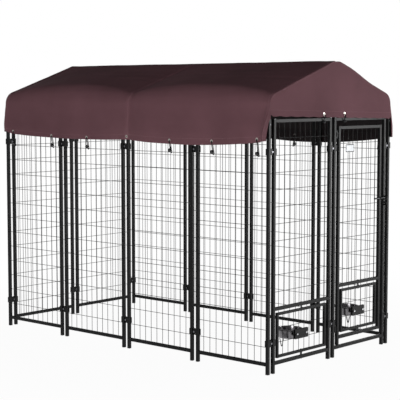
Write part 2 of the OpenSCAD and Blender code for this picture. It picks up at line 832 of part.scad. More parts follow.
// Closed sheet between two grids of points, with square holes where a cell is listed
module cloth_sheet(front, back, holes) {
    rows = len(front);
    cols = len(front[0]);
    count = rows * cols;
    function at(i, j, layer) = layer * count + i * cols + j;
    function quad(a, b, c, d) = [[a, c, b], [a, d, c]];
    function open(i, j) = i < 0 || j < 0 || i >= rows - 1 || j >= cols - 1
        || len([for (h = holes) if (h[0] == i && h[1] == j) h]) > 0;
    cells = [for (i = [0:rows - 2], j = [0:cols - 2]) if (!open(i, j)) [i, j]];
    skins = [for (c = cells) let (i = c[0], j = c[1]) each concat(
        quad(at(i, j, 0), at(i, j + 1, 0), at(i + 1, j + 1, 0), at(i + 1, j, 0)),
        quad(at(i, j, 1), at(i + 1, j, 1), at(i + 1, j + 1, 1), at(i, j + 1, 1)))];
    function wall(i, j, k, l) = quad(at(i, j, 0), at(i, j, 1), at(k, l, 1), at(k, l, 0));
    edges = [for (c = cells) let (i = c[0], j = c[1]) each concat(
        open(i - 1, j) ? wall(i, j, i, j + 1) : [],
        open(i + 1, j) ? wall(i + 1, j + 1, i + 1, j) : [],
        open(i, j - 1) ? wall(i + 1, j, i, j) : [],
        open(i, j + 1) ? wall(i, j + 1, i + 1, j + 1) : [])];
    points = concat([for (r = front) each r], [for (r = back) each r]);
    polyhedron(points = points, faces = concat(skins, edges));
}

function cover_grid(off) =
    [for (x = cover_stations) [for (p = full_section(x, off)) [x, p[0], p[1]]]];
function station_of(x) = search(x - half_cell, cover_stations)[0];

module cover_sheet() {
    columns = len(full_section(0, cover_off));
    holes = [for (x = eyelets_x, j = [1, columns - 3]) [station_of(x), j]];
    cloth_sheet(cover_grid(cover_off + cloth_t), cover_grid(cover_off), holes);
}

// Gable rows: from the hem up, as [half width, height, how far the cloth stands out]
gable_off = cover_off + cloth_t;
gable_end = half_section(cover_x, gable_off);
first_bend = 4;
function gable_out(up) = gable_flare * (1 - up / (leg_top_z - gable_hem_z));
gable_rows = concat(
    [for (up = [0, eyelet_up - half_cell, eyelet_up + half_cell])
        [side_y + gable_off + skirt_out / 2, gable_hem_z + up, gable_out(up)]],
    [for (i = [0, bend_steps / 2, bend_steps]) concat(gable_end[first_bend + i], [0])],
    [[gable_top_half, ridge_z + gable_off / cos(roof_slope) - gable_top_half * tan(roof_slope), 0]]);

// Places across a gable row; the eyelet cells keep their distance from the middle on the lowest rows
gable_hem_half = gable_rows[0][0];
gable_cuts = let (e = gable_eyelet_y / gable_hem_half, d = half_cell / gable_hem_half,
    side = [e - d, e + d, 0.5, 1])
    concat([for (i = [len(side) - 1:-1:0]) -side[i]], [0], side);
function gable_hem_wave(t) = -gable_sag * pow(sin(180 * t * gable_hem_half / gable_eyelet_y), 2);

function gable_grid(layer) = [for (row = gable_rows) [for (t = gable_cuts)
    [cover_x + gable_gap + row[2] + layer * cloth_t, t * row[0],
     row[1] + (row == gable_rows[0] ? gable_hem_wave(t) : 0)]]];

module gable_sheet() {
    middle = (len(gable_cuts) - 1) / 2;
    cloth_sheet(gable_grid(1), gable_grid(0), [[1, middle + 1], [1, middle - 2]]);
}

module canopy() {
    color(maroon) {
        cover_sheet();
        gable_sheet();
        mirror([1, 0, 0]) gable_sheet();
    }
}

// Eyelet pressed over a cell of the cloth; local Z is the cloth's outward normal
module eyelet() {
    face = cloth_t / 2 + eyelet_seat;
    color(nickel) rotate_extrude() polygon([
        [eyelet_bore, -face - eyelet_flange], [eyelet_r, -face - eyelet_flange], [eyelet_r, -face],
        [eyelet_barrel, -face], [eyelet_barrel, face], [eyelet_r, face],
        [eyelet_r, face + eyelet_flange], [eyelet_bore, face + eyelet_flange]]);
}

// Place of a skirt eyelet on the left side, as [distance from middle, height]
function skirt_eyelet(x) = [skirt_y(x, eyelet_up, cover_off + cloth_t / 2), hem_z(x) + eyelet_up];
gable_eyelet_x = cover_x + gable_gap + cloth_t / 2 + gable_out(eyelet_up);
gable_eyelet_z = gable_hem_z + eyelet_up;
gable_lean = atan(gable_flare / (leg_top_z - gable_hem_z));

module canopy_eyelets() {
    for (x = eyelets_x, side = [0, 1]) mirror([0, side, 0]) let (p = skirt_eyelet(x))
        translate([x, -p[0], p[1]]) rotate([90 + hem_lean, 0, 0]) eyelet();
    for (end = [0, 1], side = [-1, 1]) mirror([end, 0, 0])
        translate([gable_eyelet_x, side * gable_eyelet_y, gable_eyelet_z])
            rotate([0, 90 - gable_lean, 0]) eyelet();
}

// Elastic loop in the local Y-Z plane: two strands joined by half rings; its top is at the origin
module tie_loop(length, r) {
    color(elastic_black) translate([0, 0, -r]) {
        rotate([90, 0, 90]) rotate_extrude(angle = 180) translate([r, 0]) circle(r = tie_r);
        translate([0, 0, 2 * r - length]) rotate([-90, 0, 90])
            rotate_extrude(angle = 180) translate([r, 0]) circle(r = tie_r);
        for (side = [-1, 1]) translate([0, side * r, 2 * r - length])
            cylinder(r = tie_r, h = length - 2 * r);
    }
}

// The mesh wire that the skirt ties hold, and the lean and length of a tie from an eyelet to it
mesh_rows = round((top_rail_z - bottom_rail_z) / wire_step_z);
tie_wire_z = top_rail_z - tie_level * (top_rail_z - bottom_rail_z) / mesh_rows;
tie_wire_y = side_y - wire_off;
function tie_run(x) = skirt_eyelet(x) - [tie_wire_y, tie_wire_z];
function tie_angle(x) = atan(tie_run(x)[0] / tie_run(x)[1]);
function tie_length(x) = norm(tie_run(x)) + wire_d / 2 + tie_gap + tie_r;

module at_skirt_ties() {
    for (x = tied_x, side = [0, 1]) mirror([0, side, 0]) let (p = skirt_eyelet(x), $x = x)
        translate([x, -p[0], p[1]]) rotate([tie_angle(x), 0, 0]) children();
}

// The gable ties go round the top rail of the end walls
rail_tie_run = [gable_eyelet_x - end_x, gable_eyelet_z - top_rail_z];
rail_tie_angle = atan(rail_tie_run[0] / rail_tie_run[1]);
rail_tie_length = norm(rail_tie_run) + rail_tie_r;

module at_gable_ties() {
    for (end = [0, 1], side = [-1, 1]) mirror([end, 0, 0])
        translate([gable_eyelet_x, side * gable_eyelet_y, gable_eyelet_z])
            rotate(90) rotate([rail_tie_angle, 0, 0]) children();
}

module tie_loops() {
    at_skirt_ties() tie_loop(tie_length($x), tie_bend_r);
    at_gable_ties() tie_loop(rail_tie_length, rail_tie_r);
}

// Ball threaded on the outer strand of a skirt tie
module tie_balls() {
    color(elastic_black) at_skirt_ties()
        translate([0, -tie_bend_r - ball_shift, ball_up - tie_length($x)]) difference() {
            sphere(r = ball_r);
            translate([0, ball_shift, -2 * ball_r]) cylinder(r = tie_r + seat_gap, h = 4 * ball_r);
        }
}

left_wall_panel(1);  // left_wall_panel_1
left_wall_panel(2);  // left_wall_panel_2
left_wall_panel(3);  // left_wall_panel_3
left_wall_panel(4);  // left_wall_panel_4
right_wall_panel(1);  // right_wall_panel_1
right_wall_panel(2);  // right_wall_panel_2
right_wall_panel(3);  // right_wall_panel_3
right_wall_panel(4);  // right_wall_panel_4
back_wall_panel(1);  // back_wall_panel_1
back_wall_panel(2);  // back_wall_panel_2
front_feeder_panel();
gate_frame();
gate_leaf();
gate_hinge_lugs();
gate_hinge_knuckles();
gate_hinge_pins();
latch_sleeve();
latch_bolt();
latch_keeper();
on_front(1) feeder_frame(feeder_1_w, feeder_1_low, feeder_1_high);  // feeder_1_frame
on_front(1) pivot_pins(feeder_1_low, feeder_1_high, bottom_rail_z, feeder_rail_z);  // feeder_1_pivot_pins
on_front(1) hoop(feeder_1_low);  // feeder_1_hoop
on_front(1) clamp_plate(feeder_1_low);  // feeder_1_clamp_plate
on_front(1) plate_bolts(feeder_1_low);  // feeder_1_bolts
on_front(1) plate_nuts(feeder_1_low);  // feeder_1_nuts
on_front(1) bowl(feeder_1_low);  // feeder_1_bowl
on_front(2) feeder_frame(feeder_2_w, feeder_2_low, feeder_2_high);  // feeder_2_frame
on_front(2) pivot_pins(feeder_2_low, feeder_2_high, leaf_bottom_z, gate_rail_z);  // feeder_2_pivot_pins
on_front(2) hoop(feeder_2_low);  // feeder_2_hoop
on_front(2) clamp_plate(feeder_2_low);  // feeder_2_clamp_plate
on_front(2) plate_bolts(feeder_2_low);  // feeder_2_bolts
on_front(2) plate_nuts(feeder_2_low);  // feeder_2_nuts
on_front(2) bowl(feeder_2_low);  // feeder_2_bowl
clamp_outer_halves();
clamp_inner_halves();
clamp_bolts();
clamp_nuts();
eave_elbows();
rafter(-end_x, -1);  // rear_left_rafter
rafter(-end_x, 1);  // rear_right_rafter
rafter(middle_x, -1);  // middle_left_rafter
rafter(middle_x, 1);  // middle_right_rafter
rafter(end_x, -1);  // front_left_rafter
rafter(end_x, 1);  // front_right_rafter
ridge_connector(-end_x, [1]);  // rear_ridge_connector
ridge_connector(middle_x, [-1, 1]);  // middle_ridge_connector
ridge_connector(end_x, [-1]);  // front_ridge_connector
ridge_tube(-end_x, middle_x);  // rear_ridge_tube
ridge_tube(middle_x, end_x);  // front_ridge_tube
rafter_screws();
canopy();
canopy_eyelets();
tie_loops();
tie_balls();
post_top_plugs();
foot_caps();
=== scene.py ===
import json
import math

import bmesh
import bpy
from mathutils import Matrix, Vector, noise


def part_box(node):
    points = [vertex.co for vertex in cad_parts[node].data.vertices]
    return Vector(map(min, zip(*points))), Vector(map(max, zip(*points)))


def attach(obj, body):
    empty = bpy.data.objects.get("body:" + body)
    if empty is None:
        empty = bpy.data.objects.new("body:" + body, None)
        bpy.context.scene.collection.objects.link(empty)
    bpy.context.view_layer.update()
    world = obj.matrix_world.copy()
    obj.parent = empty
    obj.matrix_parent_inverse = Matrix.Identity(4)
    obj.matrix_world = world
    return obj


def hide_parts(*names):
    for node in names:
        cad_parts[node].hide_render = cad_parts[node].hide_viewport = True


bl_info = {
    "name": "Outdoor dog kennel run",
    "version": (1, 0, 0),
    "blender": (4, 5, 0),
    "location": "View3D > Sidebar > Kennel",
    "description": "Finishes, roof cover, elastic ties and studio for a panelled dog run",
    "category": "Object",
}

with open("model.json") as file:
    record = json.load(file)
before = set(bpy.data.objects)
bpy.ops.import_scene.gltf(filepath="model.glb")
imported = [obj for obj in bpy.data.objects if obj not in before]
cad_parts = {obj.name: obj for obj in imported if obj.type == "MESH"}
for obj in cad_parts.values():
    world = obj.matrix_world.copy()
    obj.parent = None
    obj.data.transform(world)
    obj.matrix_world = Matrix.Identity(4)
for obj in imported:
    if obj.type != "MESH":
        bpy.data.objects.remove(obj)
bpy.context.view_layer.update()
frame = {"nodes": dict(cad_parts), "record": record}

MM = 0.001

# Places and sizes repeated from the part, in millimetres
END_X = 1176.0
SIDE_Y = 624.0
MIDDLE_X = 24.0
ARCHES_X = (-END_X, MIDDLE_X, END_X)
COVER_X = 1188.0
WALL_TOP = 1505.0
END_RAIL_Z = 1495.0
LEG_TOP = 1583.0
SILL_TOP = 70.0
TUBE = 20.0
TUBE_CORNER = 3.0
WIRE_R = 1.6
BEND_R = 69.0
SLOPE = math.radians(18.5)
CLOTH_OFF = 11.3
SKIRT_DROP = 130.0
SKIRT_OUT = 9.0
HEM_DIP = 16.0
HEM_BULGE = 11.0
HEM_LEAN = math.radians(8)
CLOTH_SAG = 22.0
BELLY_UP = 60.0
EYELET_UP = 20.0
EYELET_Y = SIDE_Y + CLOTH_OFF + SKIRT_OUT - (BELLY_UP - EYELET_UP) * math.tan(HEM_LEAN)
COLUMN_W = 552.0 / 11
TIED_X = [p * 600 + c * COLUMN_W for p, c in
          ((-1.5, -4), (-1.5, 4), (-0.5, -1), (0.5, 2), (1.5, -3), (1.5, 4))]
EYELETS_X = sorted(TIED_X + [MIDDLE_X])
GABLE_HEM = 1509.0
GABLE_OFF = 0.9
GABLE_FLARE = 6.0
GABLE_SAG = 4.0
GABLE_EYELET_X = COVER_X + GABLE_OFF + GABLE_FLARE * (1 - EYELET_UP / (LEG_TOP - GABLE_HEM))
GABLE_EYELET_Y = 108.0
GABLE_EYELET_Z = GABLE_HEM + EYELET_UP
GABLE_EYELETS = [(end, y) for end in (-1, 1) for y in (-GABLE_EYELET_Y, GABLE_EYELET_Y)]
BEND_SWEEP = math.pi / 2 - SLOPE
BEND_END_Y = SIDE_Y - BEND_R * (1 - math.cos(BEND_SWEEP))
BEND_END_Z = LEG_TOP + BEND_R * math.sin(BEND_SWEEP)
RIDGE_SINK = 0.6
RIDGE_CLOTH_Z = (BEND_END_Z + BEND_END_Y * math.tan(SLOPE) + CLOTH_OFF / math.cos(SLOPE)
                 - RIDGE_SINK)

# How the cloth lies half way between two arches, on the left (-1) and on the right (1): radius
# of its bend at the eave, its slope in the rear and the front bay, and how far it stands out
FREE_BEND_R = {-1: 150.0, 1: 88.0}
REAR_SLOPE = {-1: math.radians(13.9), 1: math.radians(14.5)}
FRONT_SLOPE = {-1: math.radians(14.2), 1: math.radians(16.2)}
EAVE_STAND = 7.0
LOOSE_POWER = 0.8
# Fold beside the ridge: its height, where it grows along the cover, and where it rises and falls
FRONT_FOLD = 22.0
FOLD_ALONG = (350, 1100)
FOLD_RISE = (0, 85)
FOLD_FALL = (170, 440)
# Hem: its rise half way along each bay, its lift over the last stretch at the corners, and how
# much lower the right side hangs half way along a bay and everywhere
REAR_RISE, FRONT_RISE = 7.0, -4.0
REAR_LIFT, REAR_LIFT_L = 14.0, 73.0
FRONT_LIFT, FRONT_LIFT_L = 4.0, 58.0
RIGHT_BAY_DROP, RIGHT_DROP = 12.0, 10.0
# Share of the hem's slack that its lowest rows take
SLACK_SHARE = {-20: 1.0, -17: 0.85}
# Flare of the skirt at the right, the near front and the near rear corners, and where it starts
RIGHT_FLARE, NEAR_FLARE, REAR_FLARE = 26.0, 74.0, 10.0
FLARE_X = EYELETS_X[-1] + 10
FLARE_POWER = 1.3
# Share of the flare that is gone at the belly, and the rounding of the belly
FLARE_LOSS = 0.25
BELLY_ROUND = 5.0
# Crest over a tube and the dip beside it, as height and width
CREST, CREST_W = 9.0, 11.0
DIP, DIP_W = 6.5, 60.0
# Share of the crest left at the hem, the stretch in which it grows, and the reach of the eyelets
# and of the ridge tube that hold it down
HEM_CREST = 0.35
CREST_GROWS = (72, 192)
EYELET_HOLD = 30
RIDGE_HOLD = 90
# Creases: weight, length along the cover and across it, and a place of their own in the noise
CREASES = ((0.75, 520, 46, 3.1), (0.8, 210, 190, 7.7), (0.25, 60, 75, 1.3))
GABLE_CREASE = (1.2, 170, 120, 5.3)
GABLE_CREASE_UP = (45, 85)
CREASE_CLEAR = (8, 53)
# Share of the creases left at the sewn ends, and the stretch in which they grow
END_CREASE = 0.25
END_FREE = 60
# Rows of the skirt from the eyelets, and steps of the rest of the section
SKIRT_UPS = [-20, -17, -10, 0, 10, 17, 19, 27, 36, 46]
SKIRT_STEPS = 12
BEND_STEPS = 18
SLOPE_STEPS = 30
# Spacing of the sections, closer over a tube and at the ends
STATION = 13.0
TUBE_STATIONS = (6, 11, 17, 24, 34)
END_STATION = 5
# Gable: drop of the front hem towards the right, the seam's reach, where its own cut starts (m)
GABLE_SLANT = 0.025
SEAM_REACH = 14
GABLE_CUT = 3.0
GABLE_EYELET_ROWS = slice(1, 5)
# Ears below a gable: steps, drop, how far they stand out at the top and more at the foot, and the
# place of the free edge with its change towards the foot
EAR_STEPS = 4
EAR_DROP = 134
EAR_OUT, EAR_SPREAD = 7, 5
EAR_EDGE, EAR_EDGE_FOOT = 630, 4
# The near front ear hangs loose and curls back round the post
LOOSE_EDGE, LOOSE_EDGE_FOOT, LOOSE_EDGE_TURN = 631, 9, 0.2
CURL, CURL_POWER = 20, 0.6
# Eyelet holes: size of the cut, and the largest area and distance of the faces taken out
HOLE_R = 5.2
HOLE_AREA = 90
HOLE_NEAR = 4
# Allowance at the upper edge of the hem
HEM_EDGE = 0.2
# Edges sharper than these stay sharp, on cloth and on rigid pieces
CLOTH_EDGE, RIGID_EDGE = math.radians(38), math.radians(35)

# Ties: the wire they go round, their clearance, the solid cord's radius and the bend at the eyelet
TIE_WIRE = (622.35, 1290.0)
TIE_GAP = 0.3
TIE_SOLID_R = 2.25
TIE_BEND_R = 5.0
# How far their box may be from that of the solids
TIE_OFF_BOX = 6.0
WIRE_BEND_STEPS, RAIL_BEND_STEPS, STRAIGHT_STEPS = 8, 14, 6
CORD_SIDES = 10

# Gable tie balls: size, distance from the end, height and places
BALL_R = 8.0
BALL_OUT = 19.3
BALL_Z = 1482.5
BALL_PLACES = ((1, -102.0), (1, 114.0), (-1, -114.0), (-1, 102.0))

# Wire pulls of the hoops: place on the ring, and the bends as (across, up)
RING_BELOW_PLATE = 13.0
PULL_R = 82.8
PULL_WIRE_R = 2.6
PULL_TURNS = {1: math.radians(161), 2: math.radians(115)}
PULL_SIDE = ((14, 1.5), (14, -36), (14, -72), (13.4, -77), (11.9, -82), (3.6, -119), (2.2, -122.6))
PULL_BENDS = ([(-across, up) for across, up in PULL_SIDE] + [(0, -124)] + list(PULL_SIDE[::-1]))
# The short loop that the pull replaces hangs this far behind the axis and below the ring
SHORT_LOOP_BACK = 55.0
SHORT_LOOP_BELOW = 3.2

# Studio, in metres and watts: lamps as name, place, size and power
SOFT_BOXES = (
    ("right_softbox", (5.4, 4.4, 1.5), (2.8, 2.8), 300),
    ("front_softbox", (2.2, -7.4, 1.2), (4.0, 2.6), 285),
    ("rear_softbox", (-6.8, 0.6, 1.6), (4.0, 2.6), 150),
    ("far_softbox", (-1.0, 7.4, 1.6), (4.0, 2.6), 150))
LAMP_TARGET = (0.0, 0.0, 1.1)
FLOOR_SIZE = 60
# Plain white share of the floor, near and far, by Map Range socket
FLOOR_WHITE = {1: 1.2, 2: 4.0, 3: 0.96, 4: 1.0}
SKY_FILL, SKY_SHOWN, SKY_REFLECTED = 0.07, 1.0, 0.2
# Camera found from the post positions in the photograph
CAMERA_AT = (5.65985, -6.24116, 1.66136)
CAMERA_YAW, CAMERA_PITCH = math.radians(131.777), math.radians(4.981)
CAMERA_LENS, CAMERA_SENSOR, CAMERA_FAR = 111.29, 36.0, 200


def linear(code):
    """Linear colour of an sRGB hex code"""
    parts = [int(code[i:i + 2], 16) / 255 for i in (1, 3, 5)]
    return [c / 12.92 if c <= 0.04045 else ((c + 0.055) / 1.055) ** 2.4 for c in parts]


def colour(name, about, code):
    """Colour property whose default is an sRGB hex code"""
    return bpy.props.FloatVectorProperty(name=name, description=about, subtype="COLOR", size=3,
                                         min=0, max=1, default=linear(code))


def length(name, about, size_mm):
    """Length property whose default is given in millimetres"""
    return bpy.props.FloatProperty(name=name, description=about, unit="LENGTH",
                                   default=size_mm * MM)


class KennelColours(bpy.types.PropertyGroup):
    """Colours of the finishes"""
    coat: colour("Powder coat", "Black coat on the tubes, rails and wires", "#101011")
    oxide: colour("Black oxide", "Blackened latch, pins and screws", "#3a3a3c")
    worn: colour("Worn oxide", "Clamp bolts and nuts, rubbed by the spanner", "#6c6c70")
    zinc: colour("Zinc plate", "Feeder bolts and nuts", "#c6c8ca")
    sheet: colour("Galvanised sheet", "Plate on the gate, dulled by the weather", "#a6a8aa")
    stainless: colour("Stainless steel", "Feeding bowls", "#8b898c")
    nickel: colour("Nickel plate", "Eyelets in the cover", "#a9a69f")
    cloth: colour("Cover cloth", "Outside of the roof cover", "#6a4a50")
    lining: colour("Cloth coating", "Coated inside of the roof cover", "#1e1517")
    # the coating's colour is darkened further, as painted shade under the roof
    thread: colour("Thread", "Stitching of the cover", "#8c686e")
    elastic: colour("Elastic", "Braided tie cords", "#121213")
    plastic: colour("Plastic", "Plugs, foot caps and tie balls", "#17171a")
    floor: colour("Floor", "Studio floor", "#f2f2f2")


class KennelSizes(bpy.types.PropertyGroup):
    """Sizes of the sewn and tied pieces"""
    cloth_t: length("Cloth", "Thickness of the cover cloth", 1.0)
    hem_t: length("Hem", "Thickness of the folded hem", 1.8)
    hem_w: length("Hem width", "Width of the folded hem", 38)
    crease: length("Creases", "Depth of the soft creases in the cover", 2.3)
    tie_r: length("Tie radius", "Radius of the elastic cord", 2.75)


# Materials

# Where the two tones of a mottled colour begin and end on the noise
SPOT_EDGES = (0.35, 0.65)


def node_adder(owner):
    """Empty the node tree of a material or a world, and return the function that adds its nodes"""
    owner.use_nodes = True
    tree = owner.node_tree
    tree.nodes.clear()

    def add(kind, sockets=(), **settings):
        """Add one node with its settings; each socket takes a value, or the node that feeds it"""
        node = tree.nodes.new("ShaderNode" + kind)
        for name, value in settings.items():
            setattr(node, name, value)
        for key, value in dict(sockets).items():
            source = value.outputs[0] if isinstance(value, bpy.types.Node) else value
            if isinstance(source, bpy.types.NodeSocket):
                tree.links.new(source, node.inputs[key])
            else:
                node.inputs[key].default_value = source
        return node

    return add


def new_material(name):
    """Empty material and the function that adds its nodes"""
    material = bpy.data.materials.new(name)
    return material, node_adder(material)


def rgba(values, gain=1.0):
    return (*(value * gain for value in values), 1)


def mottled(add, vector, tint, tones, spot_mm, detail=3.0):
    """Tint that drifts between two tones in soft spots"""
    spots = add("TexNoise", {0: vector, "Scale": 1 / (spot_mm * MM), "Detail": detail})
    blend = add("ValToRGB", {0: spots})
    for stop, place, tone in zip(blend.color_ramp.elements, SPOT_EDGES, tones):
        stop.position = place
        stop.color = rgba(tint, tone)
    return blend


def roughened(add, grain, rough, bump=None):
    """Shader sockets that a grain feeds: roughness between two values, and a bump (strength, mm)"""
    sockets = {"Roughness": add("MapRange", {0: grain, 3: rough[0], 4: rough[1]})}
    if bump:
        strength, depth = bump
        sockets["Normal"] = add("Bump", {"Height": grain, "Strength": strength,
                                         "Distance": depth * MM})
    return sockets


def grained(name, sockets, tint, tones, spot_mm, grain_mm, rough, bump=None, detail=2.0):
    """Material in soft spots of two tones, with a finer grain in its roughness and bump"""
    material, add = new_material(name)
    place = add("TexCoord").outputs["Object"]
    base = mottled(add, place, tint, tones, spot_mm)
    grain = add("TexNoise", {0: place, "Scale": 1 / (grain_mm * MM), "Detail": detail})
    shader = add("BsdfPrincipled",
                 {**sockets, "Base Color": base, **roughened(add, grain, rough, bump)})
    add("OutputMaterial", {0: shader})
    return material


def powder_coat(colours):
    """Powder-coated steel, sprayed and baked: a satin black film with a fine orange peel"""
    # uneven spraying in spots about 110 mm across, orange peel about 1.5 mm from crest to crest
    return grained("powder_coated_steel_satin", {"Metallic": 0.0, "Specular IOR Level": 0.12},
                   colours.coat, (0.85, 1.25), 111.11, 1.5, (0.36, 0.5), (0.12, 0.2))


def black_oxide(name, tint):
    """Black oxide on machined steel: a dark metal with a thin oily shine and turning lines"""
    # oil spots about 8 mm across; turning lines about 0.8 mm apart, drawn coarser than the real
    # 0.2 mm so that they show
    return grained(name, {"Metallic": 1.0}, tint, (0.7, 1.3), 8.3333, 0.8, (0.3, 0.46), detail=1.0)


def plated(name, tint, rough, grain_mm):
    """Plated metal: a bright film whose clouding varies with the plating's grain"""
    return grained(name, {"Metallic": 1.0}, tint, (0.82, 1.0), grain_mm * 4, grain_mm, rough)


def moulded_plastic(colours):
    """Polyethylene, injection moulded: half-gloss black with a fine spark-eroded grain"""
    # flow marks about 17 mm across, grain about 0.7 mm
    return grained("moulded_polyethylene_half_gloss", {"Specular IOR Level": 0.4},
                   colours.plastic, (0.8, 1.3), 16.6667, 0.7, (0.24, 0.4), (0.15, 0.2))


def shade_darkened_lining(colours):
    """Polyurethane coating on the cloth's inside, spread by knife: dark and slightly glossy, its
    colour darkened further as painted shade under the roof
    """
    # thick and thin places about 200 mm across, coating marks about 4 mm apart
    return grained("polyurethane_coating_spread", {"Specular IOR Level": 0.2},
                   colours.lining, (0.8, 1.2), 200, 4.0, (0.45, 0.65), detail=3.0)


def spun_stainless(colours, name, centre):
    """Stainless steel sheet, spun and polished: fine rings round the bowl's axis catch the light"""
    material, add = new_material(name)
    moved = add("Mapping", {0: add("TexCoord").outputs["Object"],
                            "Location": (-centre.x, -centre.y, 0)})
    parts = add("SeparateXYZ", {0: moved})
    flat = add("CombineXYZ", {0: parts, 1: parts.outputs[1]})
    radius = add("VectorMath", {0: flat}, operation="LENGTH").outputs[1]
    # spinning rings about 1.2 mm apart, coarser than the real polish so that they show
    rings = add("TexNoise", {0: add("CombineXYZ", {0: radius, 2: parts.outputs[2]}),
                             "Scale": 1 / (1.2 * MM), "Detail": 2.0})
    base = add("Mix", {0: rings, 6: rgba(colours.stainless, 0.4), 7: rgba(colours.stainless)},
               data_type="RGBA").outputs[2]
    shader = add("BsdfPrincipled", {"Metallic": 1.0, "Base Color": base,
                                    **roughened(add, rings, (0.12, 0.22), (0.08, 0.2))})
    add("OutputMaterial", {0: shader})
    return material


def distance_from(add, value, at):
    """How far a value is from a place, either way"""
    return add("Math", {0: add("Math", {0: value, 1: at}, operation="SUBTRACT")},
               operation="ABSOLUTE")


def waves_of(add, value, spacing):
    """Sine waves at a spacing"""
    turns = add("Math", {0: value, 1: 2 * math.pi / spacing}, operation="MULTIPLY")
    return add("Math", {0: turns}, operation="SINE")


def woven_cover(colours, sizes):
    """Coated Oxford polyester, woven: a dull maroon cloth with a square weave, faint fading,
    sewn hems and a painted highlight along the middle arch"""
    material, add = new_material("oxford_polyester_woven")
    cut = add("SeparateXYZ", {0: add("UVMap", uv_map="cut")})
    seam = add("SeparateXYZ", {0: add("UVMap", uv_map="seam")})
    along, up = cut.outputs[0], cut.outputs[1]

    # threads 2 mm apart, drawn coarser than the real 0.6 mm so that they show close up
    weave = add("Math", {0: waves_of(add, along, 2 * MM), 1: waves_of(add, up, 2 * MM)},
                operation="MULTIPLY")

    # stitches 5 mm long with a gap, 3 mm inside each hem's upper edge, 7 mm from the gable seams
    # and 9 mm on each side of the middle seam; a row is 1.2 mm wide
    run = add("Math", {0: along, 1: seam.outputs[1]}, operation="ADD")
    steps = add("Math", {0: run, 1: 1 / (5 * MM)}, operation="MULTIPLY")
    part = add("Math", {0: steps}, operation="FRACT")
    dash = add("Math", {0: part, 1: 0.68}, operation="LESS_THAN")
    rows = None
    for value, at in ((up, sizes.hem_w - 3 * MM), (seam, 7 * MM),
                      (along, (MIDDLE_X - 9) * MM), (along, (MIDDLE_X + 9) * MM)):
        row = add("Math", {0: distance_from(add, value, at), 1: 0.6 * MM}, operation="LESS_THAN")
        rows = add("Math", {0: rows, 1: row}, operation="MAXIMUM") if rows else row
    stitches = add("Math", {0: rows, 1: dash}, operation="MULTIPLY")

    # cloth faded in soft patches about 0.3 m across, with lighter threads; a painted highlight
    # makes the cloth lighter in a soft band about 70 mm wide where it lies on the middle arch
    faded = mottled(add, add("TexCoord").outputs["Object"], colours.cloth, (0.9, 1.1), 312.5, 5.0)
    lift = add("MapRange", {0: weave, 1: -1.0, 2: 1.0, 3: 0.9, 4: 1.1})
    threads = add("VectorMath", {0: faded, 3: lift}, operation="SCALE")
    from_arch = distance_from(add, along, MIDDLE_X * MM)
    painted_highlight = add("MapRange", {0: from_arch, 1: 2 * MM, 2: 36 * MM, 3: 1.16, 4: 1.0},
                interpolation_type="SMOOTHSTEP")
    # the cloth's colour with the painted highlight over the middle arch
    rubbed = add("VectorMath", {0: threads, 3: painted_highlight}, operation="SCALE")
    sewn = add("Mix", {0: stitches, 6: rubbed, 7: rgba(colours.thread)}, data_type="RGBA")

    height = add("Math", {0: weave, 1: 0.35}, operation="MULTIPLY")
    raised = add("Math", {0: height, 1: stitches}, operation="ADD")
    bump = add("Bump", {"Height": raised, "Strength": 0.3, "Distance": 0.3 * MM})
    shader = add("BsdfPrincipled", {"Roughness": 0.85, "Specular IOR Level": 0.08,
                                    "Base Color": sewn.outputs[2], "Normal": bump})
    add("OutputMaterial", {0: shader})
    return material


def braided_elastic(colours):
    """Polyester braid over rubber: dull black cord with crossed strands"""
    material, add = new_material("elastic_cord_braided")
    parts = add("SeparateXYZ", {0: add("UVMap", uv_map="braid")})
    # strands cross every 1.6 mm along the cord, and six go round it
    lean = add("Math", {0: parts, 1: 1 / (1.6 * MM)}, operation="MULTIPLY")
    turn = add("Math", {0: parts.outputs[1], 1: 6}, operation="MULTIPLY")
    strands = [waves_of(add, add("Math", {0: lean, 1: turn}, operation=way), 1)
               for way in ("ADD", "SUBTRACT")]
    braid = add("Math", {0: strands[0], 1: strands[1]}, operation="MAXIMUM")
    tone = add("MapRange", {0: braid, 1: -1.0, 2: 1.0})
    base = add("Mix", {0: tone, 6: rgba(colours.elastic, 0.5), 7: rgba(colours.elastic, 1.5)},
               data_type="RGBA")
    bump = add("Bump", {"Height": braid, "Strength": 0.5, "Distance": 0.3 * MM})
    shader = add("BsdfPrincipled", {"Roughness": 0.85, "Specular IOR Level": 0.12,
                                    "Base Color": base.outputs[2], "Normal": bump})
    add("OutputMaterial", {0: shader})
    return material


def finish_nodes(names, material):
    """Give CAD nodes a material in their own slots"""
    for name in names:
        node = frame["nodes"][name]
        if not node.material_slots:
            raise RuntimeError(name + " has no material slot")
        for place in node.material_slots:
            place.material = material


def nodes_of(slot):
    """Names of the nodes that the record gives to a material slot"""
    return [row["node"] for row in frame["record"]["subparts"] if row["material_slot"] == slot]


def finish_of(node):
    """Material that a CAD node already wears"""
    return frame["nodes"][node].material_slots[0].material


# Roof cover


def ramp(a, b, t):
    """0 before a, 1 after b, straight between"""
    return max(0.0, min(1.0, (t - a) / (b - a)))


def ease(a, b, t):
    """0 before a, 1 after b, smooth between"""
    u = ramp(a, b, t)
    return u * u * (3 - 2 * u)


def soft_min(a, b, k):
    """Lesser of two values, rounded where they meet"""
    return min(a, b) - max(k - abs(a - b), 0.0) ** 2 / (4 * k)


def bay(x):
    """0 over the arches and 1 half way between two of them"""
    if abs(x) >= END_X:
        return 0.0
    a, b = ARCHES_X[:2] if x < MIDDLE_X else ARCHES_X[1:]
    t = (x - a) / (b - a)
    return 4 * t * (1 - t)


def eyelet_height(x):
    """Height of a skirt eyelet at x"""
    return (WALL_TOP - SKIRT_DROP - HEM_DIP * (1 - abs(x) / COVER_X) - CLOTH_SAG * bay(x)
            + EYELET_UP)


def skirt_eyelet(x, side):
    """Middle of a skirt eyelet, in metres"""
    return Vector((x, side * EYELET_Y, eyelet_height(x))) * MM


